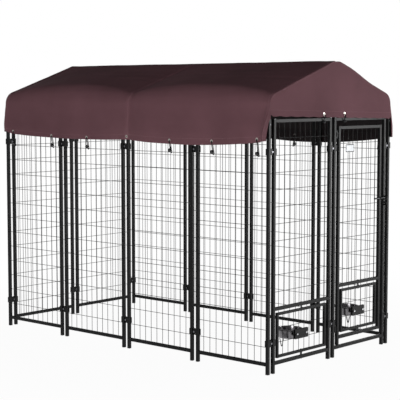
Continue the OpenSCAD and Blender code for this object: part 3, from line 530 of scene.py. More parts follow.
def gable_eyelet(end, y):
    """Middle of a gable eyelet, in metres"""
    return Vector((end * GABLE_EYELET_X, y, GABLE_EYELET_Z)) * MM


def hem_slack(x, side):
    """How much further the cloth hangs below the eyelets than the hem's usual depth: more in the
    front bay and on the right, less at the corners"""
    lift = (REAR_LIFT * ramp(COVER_X - REAR_LIFT_L, COVER_X, -x)
            + FRONT_LIFT * ramp(COVER_X - FRONT_LIFT_L, COVER_X, x))
    rise = REAR_RISE if x < MIDDLE_X else FRONT_RISE
    if side > 0:
        rise, lift = rise - RIGHT_BAY_DROP, lift - RIGHT_DROP
    return -rise * bay(x) - lift


def hem_wave(x):
    """Bulge of the hem between two eyelets"""
    for a, b in zip(EYELETS_X, EYELETS_X[1:]):
        if a <= x <= b:
            return HEM_BULGE * math.sin(math.pi * (x - a) / (b - a)) ** 2
    return 0.0


def corner_flare(x, side):
    """How far the skirt stands out at its ends; the near front corner hangs loosest"""
    reach = RIGHT_FLARE if side > 0 else NEAR_FLARE if x > 0 else REAR_FLARE
    return reach * ramp(FLARE_X, COVER_X, abs(x)) ** FLARE_POWER


def ridge_over_tube(x):
    """Crest where the cloth is drawn over an arch's tube, with a shallow dip on each side of it"""
    return sum(CREST * math.exp(-((x - arch) / CREST_W) ** 2)
               - DIP * math.exp(-((x - arch) / DIP_W) ** 2) for arch in ARCHES_X)


def front_fold(x, y, side):
    """Slack of the right slope beside the ridge, towards the front"""
    if side < 0:
        return 0.0
    return FRONT_FOLD * ease(*FOLD_ALONG, x) * ease(*FOLD_RISE, y) * (1 - ease(*FOLD_FALL, y))


def bent_section(wall, radius, slope):
    """Section of the cloth from the top of the skirt to the ridge: a bend, then a straight slope"""
    sweep = math.pi / 2 - slope
    corner = RIDGE_CLOTH_Z - wall * math.tan(slope)
    low = corner - radius * math.tan(sweep / 2)
    points = []
    for i in range(BEND_STEPS + 1):
        a = sweep * i / BEND_STEPS
        points.append((wall - radius + radius * math.cos(a), low + radius * math.sin(a)))
    start_y, start_z = points[-1]
    for i in range(1, SLOPE_STEPS + 1):
        s = i / SLOPE_STEPS
        points.append((start_y * (1 - s), start_z + (RIDGE_CLOTH_Z - start_z) * s))
    return points


def half_section(x, side):
    """Mid-line of the cloth at x on one side, from hem to ridge, as distance from the middle and
    height"""
    loose = bay(x) ** LOOSE_POWER
    wall = SIDE_Y + CLOTH_OFF
    # over an arch the cloth follows the elbow; between two it stands higher on its own stiffness
    held = bent_section(wall, BEND_R + CLOTH_OFF, SLOPE)
    slope = REAR_SLOPE if x < MIDDLE_X else FRONT_SLOPE
    free = bent_section(wall + EAVE_STAND, FREE_BEND_R[side], slope[side])
    upper = [(a + (c - a) * loose, b + (d - b) * loose) for (a, b), (c, d) in zip(held, free)]
    drop = upper[0][1] - eyelet_height(x)
    out = SKIRT_OUT + hem_wave(x)
    flare = corner_flare(x, side)
    slack = hem_slack(x, side)
    ups = [u - slack * SLACK_SHARE.get(u, 0.0) for u in SKIRT_UPS]
    ups += [ups[-1] + (drop - ups[-1]) * k / SKIRT_STEPS for k in range(1, SKIRT_STEPS)]
    rows = []
    for up in ups:
        above = up + EYELET_UP
        low = (out + flare * (1 - FLARE_LOSS * above / BELLY_UP)
               - (BELLY_UP - above) * math.tan(HEM_LEAN))
        high = (out + (1 - FLARE_LOSS) * flare) * (drop - up) / (drop + EYELET_UP - BELLY_UP)
        away = EAVE_STAND * loose * ramp(0, drop, up)
        rows.append((wall + away + soft_min(low, high, BELLY_ROUND), eyelet_height(x) + up))
    return rows + [(y, z + front_fold(x, y, side)) for y, z in upper]


def crease_depth(x, along, from_eyelet):
    """Soft creases: long ones along the skirt, broad ones on the slopes and small ones, none at
    the eyelets"""
    total = sum(weight * noise.noise(Vector((x / long, along / wide, place)))
                for weight, long, wide, place in CREASES)
    return total * ramp(*CREASE_CLEAR, from_eyelet)


def cover_stations():
    """Places along the cover, closer together over the tubes and at the ends"""
    marks = {*EYELETS_X, -COVER_X, COVER_X, END_STATION - COVER_X, COVER_X - END_STATION}
    for arch in ARCHES_X:
        for d in TUBE_STATIONS:
            marks.update(x for x in (arch - d, arch + d) if abs(x) < COVER_X)
    fixed = sorted(marks)
    stations = []
    for a, b in zip(fixed, fixed[1:]):
        count = max(1, round((b - a) / STATION))
        stations += [a + (b - a) * k / count for k in range(count)]
    return stations + [COVER_X]


class SheetBuilder:
    """Points and faces of one cloth, with its cut and seam coordinates"""

    def __init__(self):
        self.bm = bmesh.new()
        self.cut = {}
        self.seam = {}
        self.recut = {}

    def point(self, x, y, z, cut, seam):
        """Add a point, with its place on the cut cloth and from the seam, all in millimetres"""
        vert = self.bm.verts.new((x * MM, y * MM, z * MM))
        self.cut[vert] = (cut[0] * MM, cut[1] * MM)
        self.seam[vert] = (seam[0] * MM, seam[1] * MM)
        return vert

    def grid(self, rows, flip=False, recut=None):
        """Add the faces between rows of points"""
        for a, b in zip(rows, rows[1:]):
            for i in range(len(a) - 1):
                quad = [a[i], a[i + 1], b[i + 1], b[i]]
                corners = [v for k, v in enumerate(quad) if v not in quad[:k]]
                if len(corners) > 2:
                    face = self.bm.faces.new(corners[::-1] if flip else corners)
                    self.recut[face] = recut

    def write_uv(self):
        """Write the cut and seam coordinates as UV maps"""
        cut = self.bm.loops.layers.uv.new("cut")
        seam = self.bm.loops.layers.uv.new("seam")
        for face in self.bm.faces:
            recut = self.recut[face]
            for loop in face.loops:
                loop[cut].uv = recut(loop.vert.co) if recut else self.cut[loop.vert]
                loop[seam].uv = self.seam[loop.vert]


def cover_rows(cloth, crease):
    """Main sheet: one row of points for each station, from the left hem over the ridge to the
    right hem"""
    rows = []
    for x in cover_stations():
        creased = END_CREASE + (1 - END_CREASE) * ramp(0, END_FREE, COVER_X - abs(x))
        row = []
        for side in (-1, 1):
            section = half_section(x, side)
            last = len(section) - 1
            lengths = [-hem_slack(x, side)]
            for p, q in zip(section, section[1:]):
                lengths.append(lengths[-1] + math.hypot(q[0] - p[0], q[1] - p[1]))
            points = []
            for i, ((y, z), s) in enumerate(zip(section, lengths)):
                before, after = section[max(i - 1, 0)], section[min(i + 1, last)]
                dy, dz = after[0] - before[0], after[1] - before[1]
                size = math.hypot(dy, dz) or 1.0
                out = Vector((dz / size, -dy / size))
                far = min(math.hypot(x - e, s - EYELET_UP) for e in EYELETS_X)
                # the ridge tube and the hem hold the cloth, so the crest is lower there
                crest = ((HEM_CREST + (1 - HEM_CREST) * ramp(*CREST_GROWS, s))
                         * ramp(0, EYELET_HOLD, far) * ease(0, RIDGE_HOLD, y))
                lift = ridge_over_tube(x) * crest
                lift += crease * crease_depth(x, s * side, far) * creased
                if i == last:
                    out, y = Vector((0, 1)), 0.0
                points.append((side * (y + out[0] * lift), z + out[1] * lift, s))
            # both sides share the ridge point, and the right side runs back down
            for y, z, s in points if side < 0 else points[-2::-1]:
                row.append(cloth.point(x, y, z, (x, s), (COVER_X - abs(x), s)))
        rows.append(row)
    return rows


def edge_index(row, height):
    """First point of an end row, from its hem, that is at or above a height"""
    return next(i for i, v in enumerate(row) if v.co.z >= height * MM)


def gable_hem(y, end):
    """Height of a gable's hem; the front one hangs lower on the right"""
    return GABLE_HEM - (y * GABLE_SLANT if end > 0 else 0.0)


def ear(cloth, column, side, end):
    """Narrow ear from the sheet's end edge below the gable to a free edge nearer the post"""
    loose = side < 0 < end
    rows = []
    for v in column:
        t = ramp(0, EAR_DROP, GABLE_HEM - v.co.z / MM)
        reach = abs(v.co.y) / MM
        free_y = EAR_EDGE + EAR_EDGE_FOOT * t
        if loose:
            free_y = LOOSE_EDGE + LOOSE_EDGE_FOOT * ease(0, LOOSE_EDGE_TURN, t)
        s = cloth.cut[v][1] / MM
        points = [v]
        for k in range(1, EAR_STEPS + 1):
            f = k / EAR_STEPS
            round_f = math.sin(f * math.pi / 2)
            y = reach + (free_y - reach) * f
            x = COVER_X + (EAR_OUT + EAR_SPREAD * t) * round_f
            if loose:
                x = COVER_X + EAR_OUT * (1 - t) * round_f - CURL * t ** CURL_POWER * f
            points.append(cloth.point(end * x, side * y, v.co.z / MM,
                                      (COVER_X + (reach - y), s), (reach - y, s)))
        rows.append(points)
    cloth.grid(rows, flip=(side * end > 0))
    return rows[-1]


def gable_and_ears(cloth, row, end, crease):
    """Gable sewn to the end row of the main sheet, with an ear below it at each corner"""
    left = edge_index(row, gable_hem(-SIDE_Y, end))
    right = len(row) - 1 - edge_index(row[::-1], gable_hem(SIDE_Y, end))
    bend = len(SKIRT_UPS) + SKIRT_STEPS - 1 + BEND_STEPS
    top = row[bend:len(row) - bend]
    count = len(top)
    left_side = row[left:bend + 1]
    right_side = row[len(row) - bend - 1:right + 1][::-1]
    height = len(left_side)
    ear_tops = [ear(cloth, row[:left + 1], -1, end), ear(cloth, row[right:][::-1], 1, end)]

    # hem of the gable between the two ears, with a point at each eyelet
    y0, y1 = (points[-1].co.y / MM for points in ear_tops)
    inner = count - 2 * (EAR_STEPS + 1)
    marks = [y0 + (y1 - y0) * k / (inner + 1) for k in range(1, inner + 1)]
    for target in (-GABLE_EYELET_Y, GABLE_EYELET_Y):
        near = min(range(len(marks)), key=lambda i: abs(marks[i] - target))
        marks[near] = target
    seam_line = [Vector((v.co.y, v.co.z)) for v in row[left:right + 1]]

    def far_from_seam(y, z):
        here = Vector((y * MM, z * MM))
        return min((here - p).length for p in seam_line) / MM

    bottom = list(ear_tops[0])
    for y in marks:
        low = gable_hem(y, end) - GABLE_SAG * math.sin(math.pi * y / GABLE_EYELET_Y) ** 2
        bottom.append(cloth.point(end * (COVER_X + EAR_OUT), y, low, (y, 0),
                                  (far_from_seam(y, low), y)))
    bottom += ear_tops[1][::-1]

    # the inside is filled between the hem, the two sides and the slopes
    depth, wide, tall, place = GABLE_CREASE
    grid_rows = [bottom]
    for j in range(1, height - 1):
        t = j / (height - 1)
        line = [left_side[j]]
        for i in range(1, count - 1):
            s = i / (count - 1)
            corner = ((1 - s) * (1 - t) * bottom[0].co + s * (1 - t) * bottom[-1].co
                      + (1 - s) * t * top[0].co + s * t * top[-1].co)
            p = ((1 - t) * bottom[i].co + t * top[i].co
                 + (1 - s) * left_side[j].co + s * right_side[j].co - corner)
            y, z = p.y / MM, p.z / MM
            gap = far_from_seam(y, z)
            up = z - gable_hem(y, end)
            hang = GABLE_OFF + GABLE_FLARE * (1 - ramp(GABLE_HEM, LEG_TOP, z))
            fold = (crease * depth * noise.noise(Vector((y / wide, z / tall, end * place)))
                    * ramp(*GABLE_CREASE_UP, up))
            x = COVER_X + (hang + fold) * ramp(0, SEAM_REACH, gap)
            line.append(cloth.point(end * x, y, z, (y, up), (gap, y + z)))
        line.append(right_side[j])
        grid_rows.append(line)
    grid_rows.append(top)

    def own_cut(co):
        # a gable is a cloth of its own, so its places start further along
        return co.y + GABLE_CUT, co.z - gable_hem(co.y / MM, end) * MM

    cloth.grid(grid_rows, flip=(end < 0), recut=own_cut)
    holes = []
    for y in (-GABLE_EYELET_Y, GABLE_EYELET_Y):
        v = min((v for r in grid_rows[GABLE_EYELET_ROWS] for v in r[1:-1]),
                key=lambda v: (v.co.y - y * MM) ** 2 + (v.co.z - GABLE_EYELET_Z * MM) ** 2)
        v.co = gable_eyelet(end, y)
        holes.append(v)
    return holes


def deselect():
    """Leave edit mode and select nothing"""
    if bpy.context.mode != "OBJECT":
        bpy.ops.object.mode_set(mode="OBJECT")
    bpy.ops.object.select_all(action="DESELECT")


def select_only(*pieces):
    """Select these pieces and nothing else, with the first one active"""
    deselect()
    for piece in pieces:
        piece.select_set(True)
    bpy.context.view_layer.objects.active = pieces[0]


def link_object(name, data):
    """New object in the scene"""
    obj = bpy.data.objects.new(name, data)
    bpy.context.scene.collection.objects.link(obj)
    return obj


def new_object(name, bm):
    """Object at the origin from a finished mesh, selected and active"""
    mesh = bpy.data.meshes.new(name)
    bm.to_mesh(mesh)
    bm.free()
    obj = link_object(name, mesh)
    select_only(obj)
    return obj


class KENNEL_OT_cover(bpy.types.Operator):
    """Sew the roof cover: one sheet over the arches with skirts, two gables and folded hems"""
    bl_idname = "kennel.cover"
    bl_label = "Roof cover"

    def execute(self, context):
        colours, sizes = context.scene.kennel_colours, context.scene.kennel_sizes
        crease = sizes.crease / MM
        cloth = SheetBuilder()
        rows = cover_rows(cloth, crease)
        cloth.grid(rows)
        holes = []
        stations = cover_stations()
        for e in EYELETS_X:
            row = rows[stations.index(e)]
            holes += [row[SKIRT_UPS.index(0)], row[len(row) - 1 - SKIRT_UPS.index(0)]]
        holes += gable_and_ears(cloth, rows[-1], 1, crease)
        holes += gable_and_ears(cloth, rows[0], -1, crease)
        cloth.write_uv()
        bm = cloth.bm
        self.cut_holes(bm, holes)
        bmesh.ops.recalc_face_normals(bm, faces=bm.faces[:])
        roof = max(bm.faces, key=lambda f: f.calc_center_median().z)
        if roof.normal.z < 0:
            bmesh.ops.reverse_faces(bm, faces=bm.faces[:])
        # the folded hem is thicker than the plain cloth
        cut = bm.loops.layers.uv["cut"]
        bm.verts.index_update()
        plain = sizes.cloth_t / sizes.hem_t
        weights = {}
        for face in bm.faces:
            for loop in face.loops:
                in_hem = loop[cut].uv.y <= sizes.hem_w + HEM_EDGE * MM
                weights[loop.vert.index] = 1.0 if in_hem else plain
        obj = new_object("roof_cover", bm)
        group = obj.vertex_groups.new(name="thickness")
        for index, weight in weights.items():
            group.add([index], weight, "REPLACE")
        solid = obj.modifiers.new("cloth", "SOLIDIFY")
        solid.thickness = sizes.hem_t
        solid.offset = 0.0
        solid.vertex_group = "thickness"
        solid.material_offset = 1
        solid.use_even_offset = False
        obj.data.materials.append(woven_cover(colours, sizes))
        obj.data.materials.append(shade_darkened_lining(colours))
        bpy.ops.object.modifier_apply(modifier="cloth")
        bpy.ops.object.shade_smooth_by_angle(angle=CLOTH_EDGE)
        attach(obj, "run")
        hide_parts("canopy")
        return {"FINISHED"}

    @staticmethod
    def cut_holes(bm, holes):
        """Cut the eyelet holes round their middle points"""
        bmesh.ops.bevel(bm, geom=holes, offset=HOLE_R * MM, offset_type="OFFSET", segments=1,
                        profile=0.5, affect="VERTICES")
        places = [skirt_eyelet(x, side) for x in EYELETS_X for side in (-1, 1)]
        places += [gable_eyelet(end, y) for end, y in GABLE_EYELETS]
        gone = [f for f in bm.faces if f.calc_area() < HOLE_AREA * MM * MM
                and any((f.calc_center_median() - p).length < HOLE_NEAR * MM for p in places)]
        if len(gone) != len(places):
            raise RuntimeError("eyelet holes cut: %d of %d" % (len(gone), len(places)))
        bmesh.ops.delete(bm, geom=gone, context="FACES")


# Elastic ties


def loop_path(reach, r, steps):
    """Closed path of a tie in its own plane, with its top at the origin, as (across, up)"""
    path = []
    for start, middle, way in ((0, -r, 1), (math.pi, r - reach, -1)):
        for k in range(steps + 1):
            a = start + math.pi * k / steps
            path.append((r * math.cos(a), middle + r * math.sin(a)))
        for k in range(1, STRAIGHT_STEPS):
            path.append((-way * r, middle + way * (2 * r - reach) * k / STRAIGHT_STEPS))
    return path


def cord_loop(bm, uv, path, place, radius):
    """Closed round cord along a plane path; place maps the local (x, across, up) to the run"""
    count = len(path)
    side = Vector((1, 0, 0))
    rings, travelled = [], 0.0
    for i, (a, u) in enumerate(path):
        back, ahead = path[i - 1], path[(i + 1) % count]
        t = Vector((0, ahead[0] - back[0], ahead[1] - back[1])).normalized()
        out = t.cross(side)
        centre = Vector((0, a, u)) * MM
        ring = []
        for k in range(CORD_SIDES):
            w = 2 * math.pi * k / CORD_SIDES
            spot = centre + radius * (math.cos(w) * side + math.sin(w) * out)
            ring.append(bm.verts.new(place @ spot))
        rings.append((ring, travelled))
        travelled += math.hypot(ahead[0] - a, ahead[1] - u) * MM
    for i in range(count):
        (ring, start), (after, end) = rings[i], rings[(i + 1) % count]
        if i == count - 1:
            end = travelled
        for k in range(CORD_SIDES):
            n = (k + 1) % CORD_SIDES
            face = bm.faces.new((ring[k], ring[n], after[n], after[k]))
            corners = ((start, k), (start, k + 1), (end, k + 1), (end, k))
            for loop, (s, f) in zip(face.loops, corners):
                loop[uv].uv = (s, f / CORD_SIDES)


class KENNEL_OT_ties(bpy.types.Operator):
    """Loop the braided elastic ties through the eyelets and round the mesh wire or the end rail"""
    bl_idname = "kennel.ties"
    bl_label = "Elastic ties"

    def execute(self, context):
        colours, sizes = context.scene.kennel_colours, context.scene.kennel_sizes
        bm = bmesh.new()
        uv = bm.loops.layers.uv.new("braid")
        for x in TIED_X:
            run = (EYELET_Y - TIE_WIRE[0], eyelet_height(x) - TIE_WIRE[1])
            path = loop_path(math.hypot(*run) + WIRE_R + TIE_GAP + TIE_SOLID_R, TIE_BEND_R,
                             WIRE_BEND_STEPS)
            for side in (-1, 1):
                turn = Matrix.Rotation(-side * math.atan2(*run), 4, "X")
                place = Matrix.Translation(skirt_eyelet(x, side)) @ turn
                cord_loop(bm, uv, path, place, sizes.tie_r)
        # round a rail the cord clears the tube's rounded corners
        rail_r = (TUBE / 2 * math.sqrt(2) - TUBE_CORNER * (math.sqrt(2) - 1)
                  + TIE_SOLID_R + TIE_GAP)
        run = (GABLE_EYELET_X - END_X, GABLE_EYELET_Z - END_RAIL_Z)
        path = loop_path(math.hypot(*run) + rail_r, rail_r, RAIL_BEND_STEPS)
        for end, y in GABLE_EYELETS:
            turn = (Matrix.Rotation(end * math.pi / 2, 4, "Z")
                    @ Matrix.Rotation(math.atan2(*run), 4, "X"))
            place = Matrix.Translation(gable_eyelet(end, y)) @ turn
            cord_loop(bm, uv, path, place, sizes.tie_r)
        bmesh.ops.recalc_face_normals(bm, faces=bm.faces[:])
        box_lo, box_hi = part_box("tie_loops")
        for extreme, corner in ((min, box_lo), (max, box_hi)):
            found = Vector([extreme(v.co[i] for v in bm.verts) for i in range(3)])
            if (found - corner).length > TIE_OFF_BOX * MM:
                raise RuntimeError("ties are off their solids: %s %s" % (found, corner))
        obj = new_object("elastic_ties", bm)
        bpy.ops.object.shade_smooth()
        obj.data.materials.append(braided_elastic(colours))
        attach(obj, "run")
        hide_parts("tie_loops")
        return {"FINISHED"}


# Finishes of the CAD nodes


class KENNEL_OT_steelwork(bpy.types.Operator):
    """Finish the powder-coated panels, gate and roof frame, and the blackened and plated parts"""
    bl_idname = "kennel.steelwork"
    bl_label = "Steelwork finish"

    def execute(self, context):
        colours = context.scene.kennel_colours
        oxide = black_oxide("black_oxide_steel_machined", colours.oxide)
        worn = black_oxide("black_oxide_steel_worn", colours.worn)
        zinc = plated("zinc_plate_electroplated", colours.zinc, (0.26, 0.42), 1.5)
        nickel = plated("nickel_plate_bright", colours.nickel, (0.22, 0.36), 2.0)
        finish_nodes(nodes_of("black_powder_coat"), powder_coat(colours))
        finish_nodes(nodes_of("black_oxide_steel"), oxide)
        finish_nodes(["clamp_bolts", "clamp_nuts"], worn)
        finish_nodes(nodes_of("zinc_steel"), zinc)
        finish_nodes(nodes_of("nickel_plate"), nickel)
        return {"FINISHED"}


class KENNEL_OT_bowls(bpy.types.Operator):
    """Finish the two steel bowls, each with rings round its own axis"""
    bl_idname = "kennel.bowls"
    bl_label = "Feeding bowls finish"

    def execute(self, context):
        colours = context.scene.kennel_colours
        for number in (1, 2):
            lo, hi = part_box("feeder_%d_bowl" % number)
            material = spun_stainless(colours, "stainless_steel_spun_%d" % number, (lo + hi) / 2)
            finish_nodes(["feeder_%d_bowl" % number], material)
        return {"FINISHED"}


class KENNEL_OT_plastics(bpy.types.Operator):
    """Finish the moulded plugs, foot caps and tie balls"""
    bl_idname = "kennel.plastics"
    bl_label = "Plastic parts finish"

    def execute(self, context):
        finish_nodes(nodes_of("black_plastic"), moulded_plastic(context.scene.kennel_colours))
        return {"FINISHED"}


# Small rigid pieces


def open_primitive(name):
    """Name the primitive just added, put its size in its mesh and open it for editing"""
    obj = bpy.context.active_object
    obj.name = obj.data.name = name
    bpy.ops.object.transform_apply(location=False, rotation=True, scale=True)
    bpy.ops.object.mode_set(mode="EDIT")
    return obj


def pick(obj, kind, test):
    """Select the faces, edges or verts of the open mesh that pass a test"""
    bpy.ops.mesh.select_mode(type=kind)
    bpy.ops.mesh.select_all(action="DESELECT")
    bm = bmesh.from_edit_mesh(obj.data)
    parts = {"FACE": bm.faces, "EDGE": bm.edges, "VERT": bm.verts}[kind]
    found = [part for part in parts if test(part)]
    if not found:
        raise RuntimeError("%s has no such %s" % (obj.name, kind.lower()))
    for part in found:
        part.select_set(True)
    bmesh.update_edit_mesh(obj.data)


def runs_along(axis):
    """Test for an edge that runs along an axis"""
    others = [i for i in range(3) if i != axis]
    return lambda e: all(abs(e.verts[0].co[i] - e.verts[1].co[i]) < 0.001 * MM for i in others)


def close_piece(obj, material, body):
    """Clean the open mesh, put its place in it, and give the piece its finish and its body"""
    bpy.ops.mesh.select_all(action="SELECT")
    bpy.ops.mesh.remove_doubles(threshold=0.01 * MM)
    bpy.ops.mesh.normals_make_consistent(inside=False)
    bpy.ops.object.mode_set(mode="OBJECT")
    bpy.ops.object.transform_apply(location=True, rotation=True, scale=True)
    bpy.ops.object.shade_smooth_by_angle(angle=RIGID_EDGE)
    obj.data.materials.clear()
    obj.data.materials.append(material)
    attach(obj, body)


class KENNEL_OT_stile_foot(bpy.types.Operator):
    """Lengthen the gate's hinge stile by a tube foot that ends just above the threshold rail"""
    bl_idname = "kennel.stile_foot"
    bl_label = "Gate stile foot"

    def execute(self, context):
        lo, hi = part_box("gate_leaf")
        clear, wall, plug_in = 3 * MM, 1.5 * MM, 2 * MM
        low = SILL_TOP * MM + clear
        side = TUBE * MM
        deselect()
        bpy.ops.mesh.primitive_cube_add(
            size=1, location=((lo.x + hi.x) / 2, lo.y + side / 2, (lo.z + low) / 2),
            scale=(side, side, lo.z - low))
        foot = open_primitive("gate_stile_foot")
        pick(foot, "EDGE", runs_along(2))
        bpy.ops.mesh.bevel(offset=TUBE_CORNER * MM, segments=3, affect="EDGES")
        # open end of the tube, closed by a sunk plug
        pick(foot, "FACE", lambda f: f.normal.z < -0.9)
        bpy.ops.mesh.inset(thickness=wall)
        bpy.ops.mesh.extrude_region_move(TRANSFORM_OT_translate={"value": (0, 0, plug_in)})
        close_piece(foot, finish_of("gate_leaf"), "gate")
        return {"FINISHED"}


class KENNEL_OT_gate_plate(bpy.types.Operator):
    """Hang a bare galvanised plate with a pressed rim coated black as painted shade at its edges,
    and two rivets, on the gate's mesh
    """
    bl_idname = "kennel.gate_plate"
    bl_label = "Bare gate plate"

    def execute(self, context):
        wide, tall, thick, corner_r = 88 * MM, 48 * MM, 1.6 * MM, 6 * MM
        rim, step, sunk = 4 * MM, 0.8 * MM, 0.6 * MM
        rivet_y, rivet_r, rivet_l, rivet_round = 37 * MM, 3 * MM, 2 * MM, 0.8 * MM
        middle = Vector((END_X + 4.2, 190.0, 1311.0)) * MM
        deselect()
        bpy.ops.mesh.primitive_cube_add(size=1, location=middle, scale=(thick, wide, tall))
        plate = open_primitive("gate_plate")
        pick(plate, "EDGE", runs_along(0))
        bpy.ops.mesh.bevel(offset=corner_r, segments=4, affect="EDGES")
        pick(plate, "FACE", lambda f: f.normal.x > 0.9)
        bpy.ops.mesh.inset(thickness=rim)
        bpy.ops.mesh.inset(thickness=step, depth=-sunk)
        head_x = thick / 2 + rivet_l / 2 - 0.01 * MM
        for end in (-1, 1):
            # a rivet is a short stub with a rounded head
            bpy.ops.mesh.select_all(action="DESELECT")
            bpy.ops.mesh.primitive_cylinder_add(
                vertices=20, radius=rivet_r, depth=rivet_l, rotation=(0, math.pi / 2, 0),
                location=middle + Vector((thick / 2, end * rivet_y, 0)))
            pick(plate, "EDGE", lambda e: min(v.co.x for v in e.verts) > head_x
                 and abs(e.verts[0].co.y - end * rivet_y) < rivet_r + MM)
            bpy.ops.mesh.bevel(offset=rivet_round, segments=3, affect="EDGES")
        tint = context.scene.kennel_colours.sheet
        sheet = plated("galvanised_sheet_dulled", tint, (0.5, 0.66), 5.0)
        close_piece(plate, sheet, "gate")
        # the pressed rim takes the black coat, as painted shade along the plate's edges, and the
        # sunk face is bare
        plate.data.materials.append(finish_of("gate_leaf"))
        for face in plate.data.polygons:
            x, y, z = face.center - middle
            inside = abs(y) < wide / 2 - rim and abs(z) < tall / 2 - rim
            face.material_index = 0 if inside and x > 0 else 1
        return {"FINISHED"}


class KENNEL_OT_gable_balls(bpy.types.Operator):
    """Mould the balls of the gable ties, with a parting line and a cord hole, against the loops'
    lower ends"""
    bl_idname = "kennel.gable_balls"
    bl_label = "Gable tie balls"

    def execute(self, context):
        name = "gable_tie_balls"
        radius = BALL_R * MM
        hole_from, hole_rim, hole_deep = 0.93 * radius, 0.3 * MM, 3 * MM
        line_w, line_out = 0.35 * MM, 1.035
        deselect()
        bpy.ops.mesh.primitive_uv_sphere_add(segments=24, ring_count=14, radius=radius)
        ball = open_primitive(name)

        def on_parting(edge):
            return all(abs(v.co.z) < 0.01 * MM for v in edge.verts)

        # cord hole at the top
        pick(ball, "FACE", lambda f: f.calc_center_median().z > hole_from)
        bpy.ops.mesh.inset(thickness=hole_rim)
        bpy.ops.mesh.extrude_region_move(TRANSFORM_OT_translate={"value": (0, 0, -hole_deep)})
        # parting line round the middle
        pick(ball, "EDGE", on_parting)
        bpy.ops.mesh.bevel(offset=line_w, segments=2, affect="EDGES")
        pick(ball, "EDGE", on_parting)
        bpy.ops.transform.resize(value=(line_out, line_out, 1.0))
        bpy.ops.object.mode_set(mode="OBJECT")
        balls = []
        for end, y in BALL_PLACES:
            copy = link_object(name, ball.data.copy())
            copy.location = Vector((end * (END_X + BALL_OUT), y, BALL_Z)) * MM
            balls.append(copy)
        bpy.data.objects.remove(ball)
        select_only(*balls)
        bpy.ops.object.transform_apply(location=True, rotation=True, scale=True)
        bpy.ops.object.join()
        balls[0].name = balls[0].data.name = name
        bpy.ops.object.mode_set(mode="EDIT")
        close_piece(balls[0], finish_of("tie_balls"), "run")
        return {"FINISHED"}


class KENNEL_OT_hoops(bpy.types.Operator):
    """Bend the bowl hoops with a long pointed wire pull in place of the short loop"""
    bl_idname = "kennel.hoops"
    bl_label = "Bowl hoops"

    def execute(self, context):
        for number, turn in PULL_TURNS.items():
            node = frame["nodes"]["feeder_%d_hoop" % number]
            lo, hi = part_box("feeder_%d_bowl" % number)
            ring_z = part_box("feeder_%d_hoop" % number)[1].z - RING_BELOW_PLATE * MM
            centre = Vector(((lo.x + hi.x) / 2, (lo.y + hi.y) / 2, ring_z))
            pull = self.bent_pull(centre, turn)
            hoop = link_object("feeder_%d_ring" % number, node.data.copy())
            hoop.data.name = hoop.name
            self.cut_loop(hoop, centre)
            select_only(hoop, pull)
            bpy.ops.object.join()
            bpy.ops.object.mode_set(mode="EDIT")
            coat = finish_of("feeder_1_frame")
            close_piece(hoop, coat, "feeder_%d" % number)
            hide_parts("feeder_%d_hoop" % number)
        return {"FINISHED"}

    @staticmethod
    def bent_pull(centre, turn):
        """Round wire along the pull's bends, with closed ends, on the outside of the ring"""
        out = Vector((math.cos(turn), math.sin(turn), 0))
        side = Vector((-math.sin(turn), math.cos(turn), 0))
        data = bpy.data.curves.new("wire_pull", "CURVE")
        data.dimensions = "3D"
        data.bevel_depth = PULL_WIRE_R * MM
        data.bevel_resolution = 3
        data.use_fill_caps = True
        wire = data.splines.new("POLY")
        wire.points.add(len(PULL_BENDS) - 1)
        for point, (across, up) in zip(wire.points, PULL_BENDS):
            spot = centre + (out * PULL_R + side * across + Vector((0, 0, up))) * MM
            point.co = (*spot, 1)
        select_only(link_object("wire_pull", data))
        bpy.ops.object.convert(target="MESH")
        return bpy.context.active_object

    @staticmethod
    def cut_loop(hoop, centre):
        """Take the short loop off a copy of the hoop and close the ring where it was"""
        select_only(hoop)
        bpy.ops.object.mode_set(mode="EDIT")
        bpy.ops.mesh.select_all(action="SELECT")
        bpy.ops.mesh.remove_doubles(threshold=0.005 * MM)
        pick(hoop, "VERT", lambda v: v.co.x < centre.x - SHORT_LOOP_BACK * MM
             and v.co.z < centre.z - SHORT_LOOP_BELOW * MM)
        bpy.ops.mesh.delete(type="VERT")
        bpy.ops.mesh.select_all(action="SELECT")
        bpy.ops.mesh.fill_holes(sides=0)
        bm = bmesh.from_edit_mesh(hoop.data)
        if any(e.is_boundary for e in bm.edges):
            raise RuntimeError(hoop.name + " is left open")
        bpy.ops.object.mode_set(mode="OBJECT")


# Stage


def soft_box(name, at, size, power):
    """Rectangular area lamp that points at the run"""
    data = bpy.data.lights.new(name, "AREA")
    data.shape = "RECTANGLE"
    data.size, data.size_y = size
    data.energy = power
    lamp = link_object(name, data)
    lamp.location = at
    aim = Vector(LAMP_TARGET) - Vector(at)
    lamp.rotation_euler = aim.to_track_quat("-Z", "Y").to_euler()


